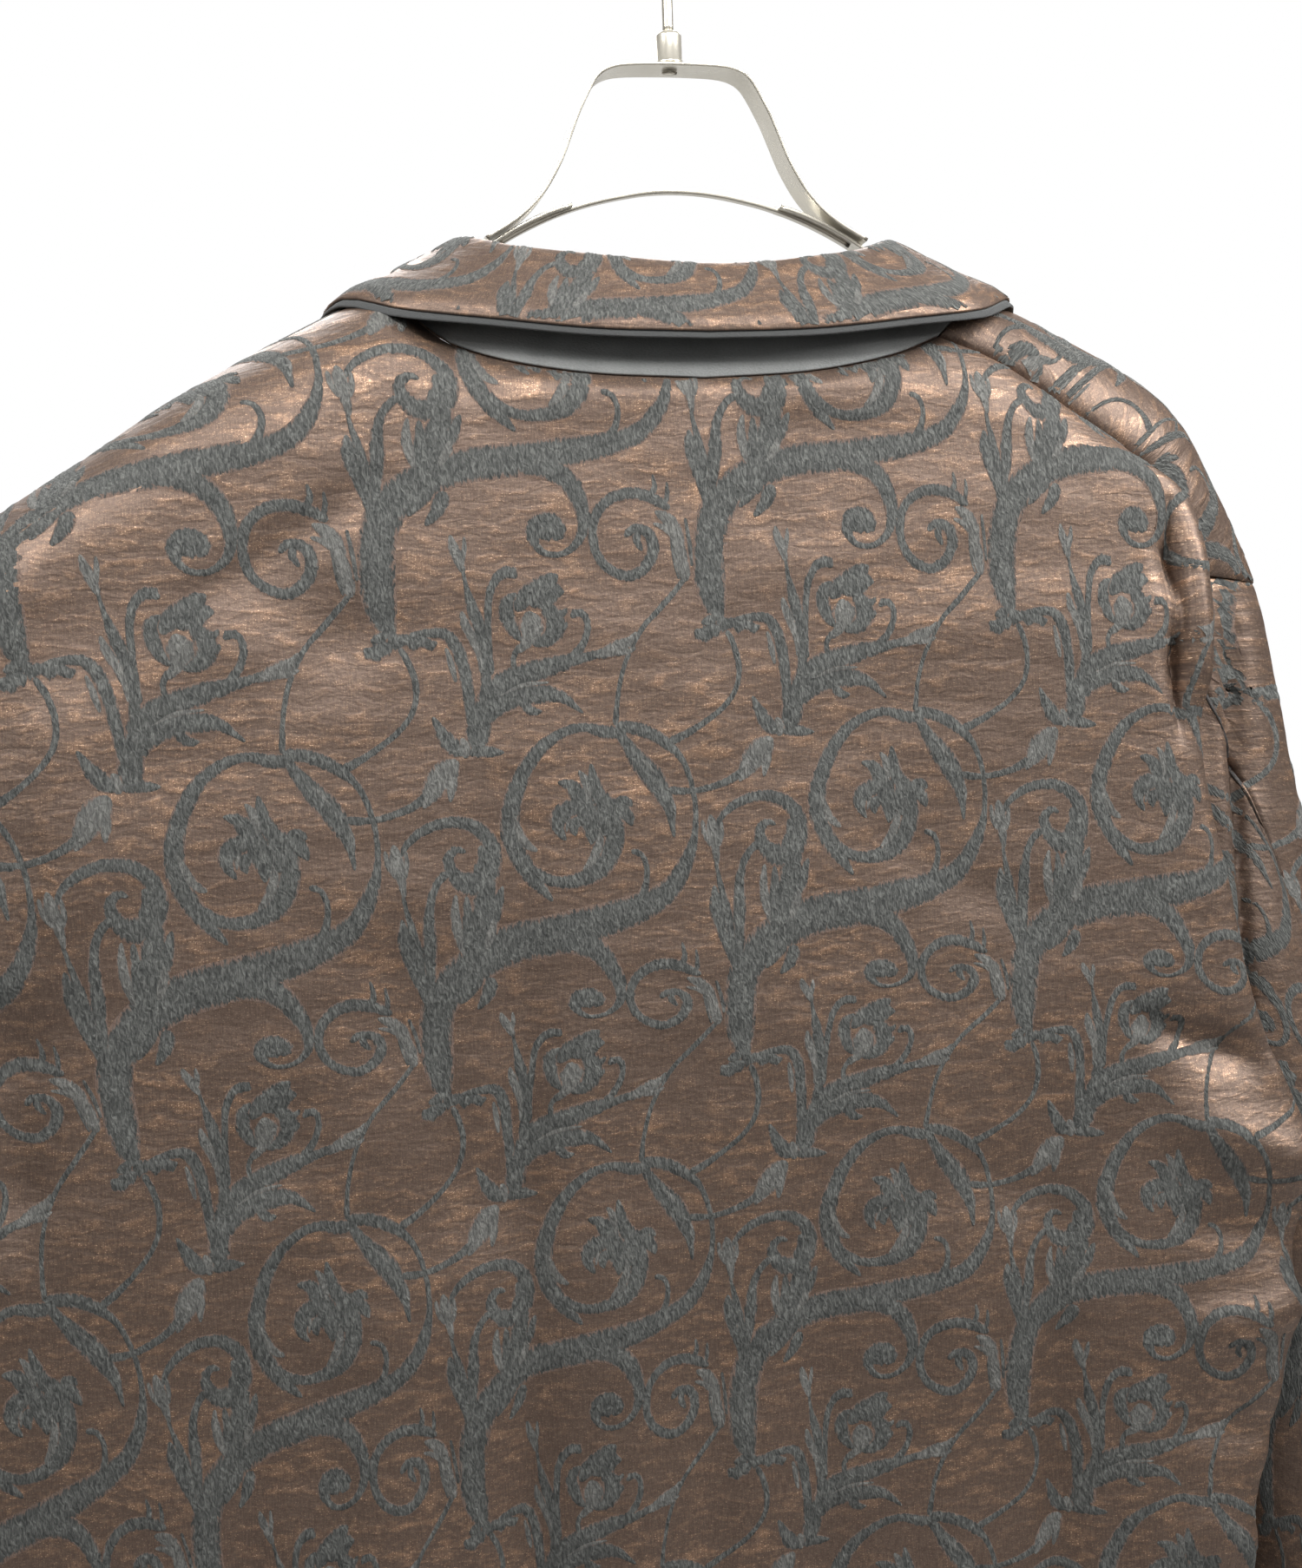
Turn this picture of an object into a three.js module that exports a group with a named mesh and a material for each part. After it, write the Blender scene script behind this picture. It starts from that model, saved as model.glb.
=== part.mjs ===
// Jacquard jacket, open collar and dropped shoulders, on a flat-bar metal display hanger.
// Millimetres, +Z up. The origin is the inner crown of the hanger's hook. The jacket's front
// faces -Y, its back faces +Y, and the wearer's left is +X. The cloth hangs turned a little on the
// hanger: spread flat at the wearer's left, folded in behind the arm at the wearer's right.
import * as THREE from 'three';

// ---- driving dimensions -------------------------------------------------------------------
const WALL = 1.4;              // cloth, jacquard with its backing
const SEAM_GAP = 0.34;         // between two pieces at a seam
const HEM_Z = -955;            // hem of the body
const UNDERARM_Z = -572;       // where body and sleeve part
const SHOULDER_DROP = 46;      // height of the round of cloth over the shoulder
const LAP = 18;                // each front runs this far past the middle
const BUTTON_Z = [-455, -585, -715];
const BUTTON = { radius: 10, thick: 3.2 };
const HOOK = { wire: 2.4, radius: 18 };
const FERRULE = { radius: 5.7, top: -74, foot: -88.3 };
const STRAP = { depth: 20, thick: 2.2, top: -90, halfTop: 35.5 };
const ARM = { depth: 14, thick: 3.2 };

// Named stations of the neck strap's leg, right half (x mirrored for the other one).
const STRAP_LEG = [
  { x: 43, z: -113 }, { x: 52.5, z: -131 }, { x: 60, z: -144 }, { x: 68, z: -153.5 },
];
// Top line of the arm bar from its crest to its end, under the cloth of the shoulder.
const ARM_LINE = [
  { x: 0, z: -142 }, { x: 37, z: -146.5 }, { x: 63, z: -155 }, { x: 80, z: -165.5 },
  { x: 98, z: -179.5 }, { x: 115, z: -190.5 }, { x: 136, z: -202.5 }, { x: 170, z: -215.5 },
  { x: 205, z: -233 },
];

// Each side's shoulder, by column from the neck out: the ridge over the hanger, and the shoulder
// seam beside it. Fractions t run along the seam from the neck point to the armhole.
const SHOULDER = {
  left: [
    { t: 0, ridgeX: 131, ridgeZ: -190, seamX: 131, seamY: -4, seamZ: -190.2 },
    { t: 0.25, ridgeX: 165, ridgeZ: -205, seamX: 165, seamY: -6, seamZ: -205.5 },
    { t: 0.5, ridgeX: 208, ridgeZ: -227.5, seamX: 208, seamY: -7, seamZ: -228.5 },
    { t: 0.72, ridgeX: 248, ridgeZ: -253, seamX: 247, seamY: -7, seamZ: -254 },
    { t: 0.88, ridgeX: 279, ridgeZ: -272, seamX: 278, seamY: -6, seamZ: -273 },
    { t: 1, ridgeX: 305, ridgeZ: -290, seamX: 303, seamY: -5, seamZ: -291 },
  ],
  right: [
    { t: 0, ridgeX: 130, ridgeZ: -191, seamX: 107, seamY: 35, seamZ: -212 },
    { t: 0.25, ridgeX: 160, ridgeZ: -203, seamX: 133, seamY: 37.5, seamZ: -223.5 },
    { t: 0.5, ridgeX: 198, ridgeZ: -223, seamX: 166, seamY: 40, seamZ: -246 },
    { t: 0.72, ridgeX: 225, ridgeZ: -246, seamX: 192, seamY: 43, seamZ: -266 },
    { t: 0.88, ridgeX: 244, ridgeZ: -281, seamX: 204, seamY: 43, seamZ: -286 },
    { t: 1, ridgeX: 263, ridgeZ: -319, seamX: 197, seamY: 37, seamZ: -314 },
  ],
};

// Back neck seam by fraction of its half length, from the middle of the back.
const NECK = {
  left: [
    { t: 0, x: 0, y: 50, z: -232 }, { t: 0.4, x: 56, y: 48, z: -228.5 },
    { t: 0.75, x: 102, y: 37, z: -216 }, { t: 0.93, x: 125, y: 12, z: -194 },
    { t: 1, x: 131, y: -4, z: -190.2 },
  ],
  right: [
    { t: 0, x: 0, y: 50, z: -232 }, { t: 0.4, x: 46, y: 48.5, z: -229 },
    { t: 0.75, x: 83, y: 42.5, z: -221.5 }, { t: 1, x: 107, y: 35, z: -212 },
  ],
};

// Body sections by height. The back runs from its middle to an edge, where it may turn in to the
// seam; the front runs from its own inner edge (neckline, lapel break, then front edge) to the seam.
const BACK = {
  left: [
    { z: -200, midY: 50, edgeX: 282, edgeY: 40, turnX: 298, turnY: 32, seamX: 302, seamY: 18 },
    { z: -330, midY: 57, edgeX: 298, edgeY: 47, turnX: 313, turnY: 40, seamX: 316, seamY: 27 },
    { z: -450, midY: 58, edgeX: 304, edgeY: 48, turnX: 320, turnY: 40, seamX: 321, seamY: 26 },
    { z: -572, midY: 56, edgeX: 310, edgeY: 46, turnX: 326, turnY: 32, seamX: 320, seamY: 0 },
    { z: -720, midY: 53, edgeX: 316, edgeY: 42, turnX: 332, turnY: 28, seamX: 326, seamY: 0 },
    { z: -960, midY: 50, edgeX: 312, edgeY: 42, turnX: 330, turnY: 28, seamX: 325, seamY: 0 },
  ],
  right: [
    { z: -200, midY: 50, edgeX: 190, edgeY: 45, turnX: 200, turnY: 43, seamX: 204, seamY: 41 },
    { z: -290, midY: 56, edgeX: 208, edgeY: 54, turnX: 213, turnY: 45, seamX: 202, seamY: 38 },
    { z: -340, midY: 57, edgeX: 215, edgeY: 59, turnX: 216, turnY: 46, seamX: 199, seamY: 34 },
    { z: -445, midY: 58, edgeX: 223, edgeY: 61, turnX: 224, turnY: 47, seamX: 200, seamY: 30 },
    { z: -502, midY: 58, edgeX: 233, edgeY: 61, turnX: 234, turnY: 46, seamX: 203, seamY: 22 },
    { z: -572, midY: 56, edgeX: 258, edgeY: 59, turnX: 257, turnY: 41, seamX: 206, seamY: 0 },
    { z: -620, midY: 55, edgeX: 250, edgeY: 58, turnX: 250, turnY: 41, seamX: 207, seamY: 0 },
    { z: -700, midY: 53, edgeX: 246, edgeY: 56, turnX: 246, turnY: 40, seamX: 208, seamY: 0 },
    { z: -745, midY: 52, edgeX: 229, edgeY: 55, turnX: 230, turnY: 38, seamX: 205, seamY: 0 },
    { z: -860, midY: 51, edgeX: 243, edgeY: 54, turnX: 244, turnY: 38, seamX: 210, seamY: 0 },
    { z: -960, midY: 50, edgeX: 256, edgeY: 52, turnX: 257, turnY: 36, seamX: 216, seamY: 0 },
  ],
};
const FRONT = {
  left: [
    { z: -200, inX: 129, midY: -40, edgeX: 280, edgeY: -38, turnX: 298, turnY: -30, seamX: 302, seamY: -18 },
    { z: -250, inX: 108, midY: -48, edgeX: 288, edgeY: -41, turnX: 304, turnY: -33, seamX: 309, seamY: -24 },
    { z: -330, inX: 62, midY: -53, edgeX: 298, edgeY: -46, turnX: 313, turnY: -40, seamX: 316, seamY: -28 },
    { z: -430, inX: -10, midY: -56, edgeX: 303, edgeY: -47, turnX: 319, turnY: -41, seamX: 321, seamY: -28 },
    { z: -450, inX: -LAP, midY: -56, edgeX: 304, edgeY: -47, turnX: 320, turnY: -41, seamX: 321, seamY: -27 },
    { z: -572, inX: -LAP, midY: -56, edgeX: 310, edgeY: -46, turnX: 326, turnY: -32, seamX: 320, seamY: 0 },
    { z: -720, inX: -LAP, midY: -53, edgeX: 316, edgeY: -42, turnX: 332, turnY: -28, seamX: 326, seamY: 0 },
    { z: -960, inX: -LAP, midY: -50, edgeX: 312, edgeY: -42, turnX: 330, turnY: -28, seamX: 325, seamY: 0 },
  ],
  right: [
    { z: -200, inX: 129, midY: -40, edgeX: 226, edgeY: -36, turnX: 244, turnY: -30, seamX: 252, seamY: -20 },
    { z: -250, inX: 108, midY: -46, edgeX: 226, edgeY: -38, turnX: 246, turnY: -32, seamX: 256, seamY: -22 },
    { z: -330, inX: 62, midY: -50, edgeX: 232, edgeY: -45, turnX: 249, turnY: -38, seamX: 252, seamY: -28 },
    { z: -380, inX: 26, midY: -52, edgeX: 228, edgeY: -52, turnX: 238, turnY: -46, seamX: 226, seamY: -33 },
    { z: -430, inX: -10, midY: -52, edgeX: 226, edgeY: -55, turnX: 230, turnY: -46, seamX: 210, seamY: -31 },
    { z: -450, inX: -LAP, midY: -52, edgeX: 226, edgeY: -56, turnX: 230, turnY: -46, seamX: 206, seamY: -30 },
    { z: -502, inX: -LAP, midY: -52, edgeX: 233, edgeY: -58, turnX: 236, turnY: -45, seamX: 204, seamY: -22 },
    { z: -572, inX: -LAP, midY: -52, edgeX: 254, edgeY: -58, turnX: 254, turnY: -41, seamX: 206, seamY: 0 },
    { z: -700, inX: -LAP, midY: -49, edgeX: 248, edgeY: -56, turnX: 248, turnY: -40, seamX: 208, seamY: 0 },
    { z: -745, inX: -LAP, midY: -48, edgeX: 236, edgeY: -55, turnX: 236, turnY: -38, seamX: 205, seamY: 0 },
    { z: -860, inX: -LAP, midY: -46, edgeX: 243, edgeY: -54, turnX: 244, turnY: -38, seamX: 210, seamY: 0 },
    { z: -960, inX: -LAP, midY: -46, edgeX: 256, edgeY: -52, turnX: 257, turnY: -36, seamX: 216, seamY: 0 },
  ],
};

// Sleeve rings by height: middle, half width across and half depth.
const SLEEVE = {
  left: [
    { z: -290, midX: 270, midY: 0, halfX: 40, halfY: 34 },
    { z: -340, midX: 290, midY: 0, halfX: 48, halfY: 38 },
    { z: -420, midX: 318, midY: 0, halfX: 52, halfY: 42 },
    { z: -520, midX: 356, midY: -2, halfX: 57, halfY: 43 },
    { z: -620, midX: 392, midY: -4, halfX: 57, halfY: 42 },
    { z: -740, midX: 401, midY: -8, halfX: 53, halfY: 40 },
    { z: -845, midX: 403, midY: -12, halfX: 50, halfY: 37 },
  ],
  right: [
    { z: -319, midX: 226, midY: 0, halfX: 37, halfY: 33 },
    { z: -370, midX: 232, midY: -1, halfX: 42, halfY: 33 },
    { z: -412, midX: 237, midY: -1, halfX: 45, halfY: 33 },
    { z: -500, midX: 254, midY: -1, halfX: 47, halfY: 33 },
    { z: -600, midX: 281, midY: -1, halfX: 50, halfY: 34 },
    { z: -720, midX: 288, midY: -3, halfX: 50, halfY: 34 },
    { z: -850, midX: 291, midY: -6, halfX: 48, halfY: 34 },
  ],
};
const CUFF_Z = { left: -842, right: -848 };

// Soft vertical folds: where they stand, how far they reach, how wide and how proud they are.
const FOLDS = {
  left: [
    { x: 352, top: -340, foot: -700, width: 12, rise: 6 },
    { x: 396, top: -470, foot: -860, width: 13, rise: -7 },
  ],
  right: [
    { x: 222, top: -292, foot: -440, width: 12, rise: 4 },
    { x: 252, top: -325, foot: -640, width: 12, rise: -7 },
    { x: 286, top: -430, foot: -860, width: 12, rise: -6 },
  ],
};

// ---- curves through short tables ---------------------------------------------------------
const mix = THREE.MathUtils.lerp;

// A smooth value of one column of a table, read at `where` in its `key` column.
function read(table, key, column, where) {
  const rising = table[table.length - 1][key] > table[0][key];
  let i = 0;
  while (i < table.length - 2 && (rising ? where > table[i + 1][key] : where < table[i + 1][key])) i += 1;
  const slope = (j) => {
    const a = table[Math.max(0, j - 1)];
    const b = table[Math.min(table.length - 1, j + 1)];
    return (b[column] - a[column]) / (b[key] - a[key]);
  };
  const here = table[i];
  const next = table[i + 1];
  const span = next[key] - here[key];
  const f = THREE.MathUtils.clamp((where - here[key]) / span, 0, 1);
  const f2 = f * f;
  const f3 = f2 * f;
  return here[column] * (2 * f3 - 3 * f2 + 1) + next[column] * (3 * f2 - 2 * f3)
    + span * (slope(i) * (f3 - 2 * f2 + f) + slope(i + 1) * (f3 - f2));
}

// A point at fraction u of a clamped uniform cubic B-spline over control points.
function spline(points, u) {
  const spans = points.length - 3;
  const knot = (i) => THREE.MathUtils.clamp(i - 3, 0, spans);
  const t = Math.min(u * spans, spans - 1e-9);
  const cell = Math.floor(t) + 3;
  const work = [0, 1, 2, 3].map((j) => points[cell - 3 + j].slice());
  for (let level = 1; level <= 3; level += 1) {
    for (let j = 3; j >= level; j -= 1) {
      const low = knot(cell - 3 + j);
      const high = knot(cell + 1 + j - level);
      const f = (t - low) / (high - low);
      work[j] = work[j].map((value, c) => work[j - 1][c] * (1 - f) + value * f);
    }
  }
  return work[3];
}

// The horizontal section of a body panel at a height, at fraction u from its inner edge.
function section(table, u, z) {
  const at = (column) => read(table, 'z', column, z);
  const inner = table[0].inX === undefined ? 0 : at('inX');
  const reach = at('edgeX') - inner;
  const midY = at('midY');
  const edgeY = at('edgeY');
  return spline([
    [inner, midY], [inner + 0.3 * reach, midY], [inner + 0.62 * reach, midY * 0.75 + edgeY * 0.25],
    [inner + 0.88 * reach, midY * 0.2 + edgeY * 0.8], [at('edgeX'), edgeY],
    [at('turnX'), at('turnY')],
    [mix(at('turnX'), at('seamX'), 0.88), mix(at('turnY'), at('seamY'), 0.25)], [at('seamX'), at('seamY')],
  ], u);
}

// How far the folds lift the cloth where its outer face looks towards +Y or -Y.
function foldLift(side, x, z) {
  let lift = 0;
  for (const fold of FOLDS[side]) {
    const along = (fold.top - z) / (fold.top - fold.foot);
    if (along > 0 && along < 1) {
      const across = (x - fold.x) / fold.width;
      lift += fold.rise * Math.sin(Math.PI * Math.sqrt(along)) * Math.exp(-across * across);
    }
  }
  return lift;
}

// ---- the panels as grids of points on the middle of the cloth ------------------------------
// Every panel is a list of columns, each a list of points [x, y, z] going down, with x measured
// outward from the middle of the body on either side.
const AXES = ['x', 'y', 'z'];
const SEAM_STEPS = [0, 0.14, 0.28, 0.42, 0.54, 0.64, 0.72, 0.79, 0.85, 0.9, 0.95, 1];
const NECK_STEPS = [0, 0.25, 0.5, 0.72, 0.86, 0.94];
const ROUND_STEPS = [0, 0.3, 0.55, 0.8, 1];
const ARMHOLE_STEPS = [1 / 6, 2 / 6, 3 / 6, 4 / 6, 5 / 6, 1];
const SIDE_SEAM_STEPS = [0.1, 0.24, 0.38, 0.48, 0.62, 0.8, 1];
const CLOSING_FROM = 0.45;     // along the shoulder, where columns start to lean to the outer seam
const MEAN_TOP = -330;         // where the rows of the back's two halves agree, at its middle

// The fraction of a section, at a height, that lies at a distance x from the middle.
function shareAt(table, x, z) {
  let low = 0;
  let high = 0.85;
  for (let i = 0; i < 20; i += 1) {
    const middle = (low + high) / 2;
    if (section(table, middle, z)[0] < x) low = middle; else high = middle;
  }
  return low;
}

// Columns hang straight down from the shoulder, and the last ones close up to the outer seam.
function columnShare(table, start, t) {
  const straight = shareAt(table, start[0], start[2] - SHOULDER_DROP);
  return mix(straight, 1, THREE.MathUtils.smoothstep(t, CLOSING_FROM, 1));
}

const ridgeAt = (side, t) => [
  read(SHOULDER[side], 't', 'ridgeX', t), 0, read(SHOULDER[side], 't', 'ridgeZ', t),
];
const seamAt = (side, t) => ['seamX', 'seamY', 'seamZ'].map((column) => read(SHOULDER[side], 't', column, t));

// Heights down the outer boundary of a panel, from its face to the underarm and down to the hem.
const sideHeights = (top) => [
  ...ARMHOLE_STEPS.map((f) => mix(top, UNDERARM_Z, f)),
  ...SIDE_SEAM_STEPS.map((f) => mix(UNDERARM_Z, HEM_Z, f)),
];

// The round of cloth from a start point near the ridge to the hanging face below it. A column that
// leans outward drops with the shoulder's slope.
const LEAN_DROP = { left: 0.64, right: 0 };
function roundOff(side, table, u, start) {
  const [leanX, faceY] = section(table, u, start[2] - SHOULDER_DROP);
  const first = Math.asin(THREE.MathUtils.clamp(start[1] / faceY, -1, 0.999));
  const lean = LEAN_DROP[side] * Math.max(0, leanX - start[0]);
  const [endX, endY] = section(table, u, start[2] - SHOULDER_DROP * Math.cos(first) - lean);
  return ROUND_STEPS.map((f) => {
    const q = mix(first, Math.PI / 2, f);
    const done = (Math.sin(q) - Math.sin(first)) / (1 - Math.sin(first));
    return [
      mix(start[0], endX, done * done), mix(start[1], endY, done),
      start[2] + SHOULDER_DROP * (Math.cos(q) - Math.cos(first)) - lean * done * done,
    ];
  });
}

// The rows below the round, at fractions of the way to the hem.
const hang = (table, u, top, fractions) => fractions.map((f) => {
  const z = mix(top[2], HEM_Z, f);
  return [...section(table, u, z), z];
});

const hemFractions = (top) => sideHeights(top).map((height) => (height - top) / (HEM_Z - top));

function backHalf(side) {
  const table = BACK[side];
  const starts = NECK_STEPS.map((f) => ({ t: 0, start: AXES.map((axis) => read(NECK[side], 't', axis, f)) }));
  for (const t of SEAM_STEPS) starts.push({ t, start: seamAt(side, t) });
  const outer = roundOff(side, table, 1, seamAt(side, 1));
  const outerFractions = hemFractions(outer[outer.length - 1][2]);
  const evenFractions = hemFractions(MEAN_TOP);
  return starts.map(({ t, start }) => {
    const u = columnShare(table, start, t);
    const top = roundOff(side, table, u, start);
    const fractions = outerFractions.map((f, i) => mix(evenFractions[i], f, u * u));
    return top.concat(hang(table, u, top[top.length - 1], fractions));
  });
}

// A front starts at the shoulder seam. On the right it first climbs the back of the shoulder, and
// its end lies under the back's where the two are tucked in together.
const TUCK_CLEAR = 3.6;
function frontPanel(side, back) {
  const table = FRONT[side];
  const over = (ridge, seam, f) => {
    const q = (1 - f) * Math.PI / 2;
    return [mix(ridge[0], seam[0], 1 - Math.cos(q)), mix(0, seam[1], Math.sin(q)),
      mix(ridge[2], seam[2], 1 - Math.cos(q))];
  };
  const shares = [];
  const columns = SEAM_STEPS.map((t) => {
    const seam = seamAt(side, t);
    if (side === 'right') seam[1] -= TUCK_CLEAR * THREE.MathUtils.smoothstep(t, 0.7, 0.84);
    const ridge = ridgeAt(side, t);
    const climb = side === 'right' ? [0, 0.25, 0.5, 0.75].map((f) => over(ridge, seam, f)) : [];
    const start = side === 'right' ? ridge : seam;
    shares.push(t * columnShare(table, start, t));
    return climb.concat(roundOff(side, table, shares.at(-1), start));
  });
  const outerTop = columns[columns.length - 1].at(-1)[2];
  const fractions = hemFractions(outerTop);
  shares.forEach((u, i) => columns[i].push(...hang(table, u, columns[i].at(-1), fractions)));
  const sideSeam = back.at(-1).slice(-SIDE_SEAM_STEPS.length - 1);
  columns.at(-1).splice(-sideSeam.length, sideSeam.length, ...sideSeam);
  return columns;
}

// The sleeve hangs from the armhole: up the back from the underarm, over, and down the front.
const UNDERARM_CLEAR = 4;      // the sleeve stands this far off the body at the underarm point
const UNDERARM_REACH = { left: 190, right: 90 };   // and less over this length of the armhole
const ARMHOLE_TUCK = { left: 0, right: 2 };   // how far inside the body's edge it starts
const TUCK_REACH = 40;         // at the tuck under the cap it lies lower over this length
const SLEEVE_STEPS = [0, 0.05, 0.12, 0.2, 0.3, 0.42, 0.56, 0.7, 0.85, 1];
function sleeveTube(side, back, front) {
  const above = (points) => points.filter((p) => p[2] > UNDERARM_Z + 0.01);
  const underarm = back.at(-1).at(-SIDE_SEAM_STEPS.length - 1);
  const loop = [underarm, ...above(back.at(-1)).reverse(), ...above(front.at(-1)).slice(1)];
  const distance = (p, q) => Math.hypot(p[0] - q[0], p[1] - q[1], p[2] - q[2]);
  const lengths = [0];
  loop.forEach((p, i) => lengths.push(lengths[i] + distance(p, loop[(i + 1) % loop.length])));
  const fromRidge = loop.map((p) => distance(p, ridgeAt(side, 1)));
  const crown = fromRidge.indexOf(Math.min(...fromRidge));
  const ring = (phi, z) => {
    const at = (column) => read(SLEEVE[side], 'z', column, z);
    return [at('midX') - at('halfX') * Math.cos(phi), at('midY') + at('halfY') * Math.sin(phi)];
  };
  return loop.map((seam, i) => {
    const fromUnderarm = Math.min(lengths[i], lengths.at(-1) - lengths[i]);
    const clear = UNDERARM_CLEAR * Math.max(0, 1 - fromUnderarm / UNDERARM_REACH[side]);
    const near = Math.max(0, 1 - distance(seam, seamAt(side, 1)) / TUCK_REACH);
    const tucked = side === 'right' ? TUCK_CLEAR * near : 0;
    const inside = Math.sign(seam[1]) * Math.min(Math.abs(seam[1]), ARMHOLE_TUCK[side]);
    const start = [seam[0] + clear, seam[1] - inside - tucked, seam[2]];
    const phi = i <= crown ? Math.PI * lengths[i] / lengths[crown]
      : Math.PI * (1 + (lengths[i] - lengths[crown]) / (lengths.at(-1) - lengths[crown]));
    const [ringX, ringY] = ring(phi, start[2]);
    return SLEEVE_STEPS.map((v) => {
      const z = mix(start[2], CUFF_Z[side], v);
      const [x, y] = ring(phi, z);
      const fade = Math.max(0, 1 - v / 0.55) ** 2;
      return [x + (start[0] - ringX) * fade, y + (start[1] - ringY) * fade, z];
    });
  });
}

// Folds stand on the back of the sleeves and on the cloth that caps the right shoulder.
const folded = (side, columns) => columns.map((column) => column.map(([x, y, z]) => (
  [x, y + Math.max(0, Math.tanh(y / 12)) * foldLift(side, x, z), z])));

// ---- lapels and collar ----------------------------------------------------------------------
// A lapel is the front turned out along its roll line; it lies on the front, moved out.
const LAPEL = [
  { f: 0, width: 60, lift: 4.2 }, { f: 0.16, width: 84, lift: 5 }, { f: 0.37, width: 74, lift: 4.6 },
  { f: 0.66, width: 46, lift: 3.6 }, { f: 0.87, width: 22, lift: 2.6 }, { f: 1, width: 7, lift: 2.2 },
];
const LAPEL_TOP_Z = -256;
const LAPEL_FOOT_Z = { left: -427, right: -404 };
const LAPEL_STEPS = [0, 0.06, 0.2, 0.4, 0.6, 0.8, 1];
const ROLL_LIFT = 1.9;         // the turned cloth clears the front by this at the roll line
function lapelPanel(side) {
  const table = FRONT[side];
  return LAPEL_STEPS.map((across) => LAPEL.map(({ f, width, lift }, row) => {
    const z = mix(LAPEL_TOP_Z, LAPEL_FOOT_Z[side], f) - (row === 0 ? 10 * across : 0);
    const x = read(table, 'z', 'inX', z) + width * across;
    const [, y] = section(table, shareAt(table, x, z), z);
    return [x, y - ROLL_LIFT - lift * Math.sin(Math.PI * Math.min(1, across * 1.4) / 2), z];
  }));
}

// Stations of the collar from the middle of the back to its front end: the fold and the outer edge.
const COLLAR = [
  { s: 0, foldX: 0, foldY: 35, foldZ: -184, edgeX: 0, edgeY: 63, edgeZ: -215 },
  { s: 0.2, foldX: 38, foldY: 34, foldZ: -182.5, edgeX: 47, edgeY: 62, edgeZ: -213.5 },
  { s: 0.4, foldX: 74, foldY: 26, foldZ: -177.5, edgeX: 92, edgeY: 55, edgeZ: -208 },
  { s: 0.55, foldX: 93, foldY: 12, foldZ: -169, edgeX: 125, edgeY: 45, edgeZ: -203 },
  { s: 0.68, foldX: 99, foldY: -6, foldZ: -169.5, edgeX: 149, edgeY: 14, edgeZ: -193 },
  { s: 0.8, foldX: 101, foldY: -27, foldZ: -183, edgeX: 157, edgeY: -22, edgeZ: -201 },
  { s: 0.9, foldX: 103, foldY: -43, foldZ: -208, edgeX: 157, edgeY: -50, edgeZ: -228 },
  { s: 1, foldX: 104, foldY: -52, foldZ: -240, edgeX: 139, edgeY: -59, edgeZ: -262 },
];
const COLLAR_END_Z = -246;     // where the collar stops against the lapel
const COLLAR_PROFILE = [0, 0.18, 0.33, 0.41, 0.45, 0.49, 0.53, 0.57, 0.63, 0.74, 0.87, 1];
const FOLD_ROUND = 4;         // size of the roll at the collar's fold

const add = (p, q, scale = 1) => p.map((value, i) => value + q[i] * scale);
const unit = (p) => p.map((value) => value / Math.hypot(...p));

// The collar's columns for one side, from the middle of the back forward, each from base to edge.
function collarColumns(side, back, front) {
  const bases = back.slice(0, NECK_STEPS.length).map((column) => column[0]);
  bases.push(...front[0].filter((p) => p[2] > COLLAR_END_Z));
  const lengths = [0];
  bases.slice(1).forEach((p, i) => lengths.push(lengths[i] + Math.hypot(...add(p, bases[i], -1))));
  return bases.map((base, i) => {
    const at = (column) => read(COLLAR, 's', column, lengths[i] / lengths.at(-1));
    const fold = [at('foldX'), at('foldY'), at('foldZ')];
    const edge = [at('edgeX'), at('edgeY'), at('edgeZ')];
    const rise = unit(add(fold, base, -1));
    const out = unit(add(edge, base, -1));
    const foot = add(base, rise, 1.1);
    const ends = add(foot, add(fold, foot, -1), 0.7);
    return COLLAR_PROFILE.map((f) => spline([
      foot, add(foot, add(fold, foot, -1), 0.35), ends, add(fold, out, -0.3 * FOLD_ROUND),
      add(add(fold, out, 0.5 * FOLD_ROUND), rise, 0.6 * FOLD_ROUND),
      add(add(fold, out, 1.6 * FOLD_ROUND), rise, -0.6 * FOLD_ROUND),
      add(add(fold, add(edge, fold, -1), 0.6), rise, 1.5), edge,
    ], f));
  });
}

// ---- from grids to walls of cloth ----------------------------------------------------------
const mirrored = (side, columns) => columns.map((column) => column.map(([x, y, z]) => (
  new THREE.Vector3(side === 'left' ? x : -x, y, z))));

// Unit normals of a grid at its points; `turn` is 1 or -1, so that they point out of the garment.
function gridNormals(grid, wraps, turn) {
  const last = grid.length - 1;
  return grid.map((column, i) => column.map((point, j) => {
    const before = grid[i > 0 ? i - 1 : (wraps ? last : 0)][j];
    const after = grid[i < last ? i + 1 : (wraps ? 0 : last)][j];
    const up = column[Math.max(0, j - 1)];
    const down = column[Math.min(column.length - 1, j + 1)];
    const across = new THREE.Vector3().subVectors(after, before);
    return across.cross(new THREE.Vector3().subVectors(down, up)).multiplyScalar(turn).normalize();
  }));
}

const pieces = [];
function addPiece(name, finish, grid, { wraps = false, turn = 1 } = {}) {
  pieces.push({ name, finish, grid, wraps, normals: gridNormals(grid, wraps, turn), turn });
}

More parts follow.
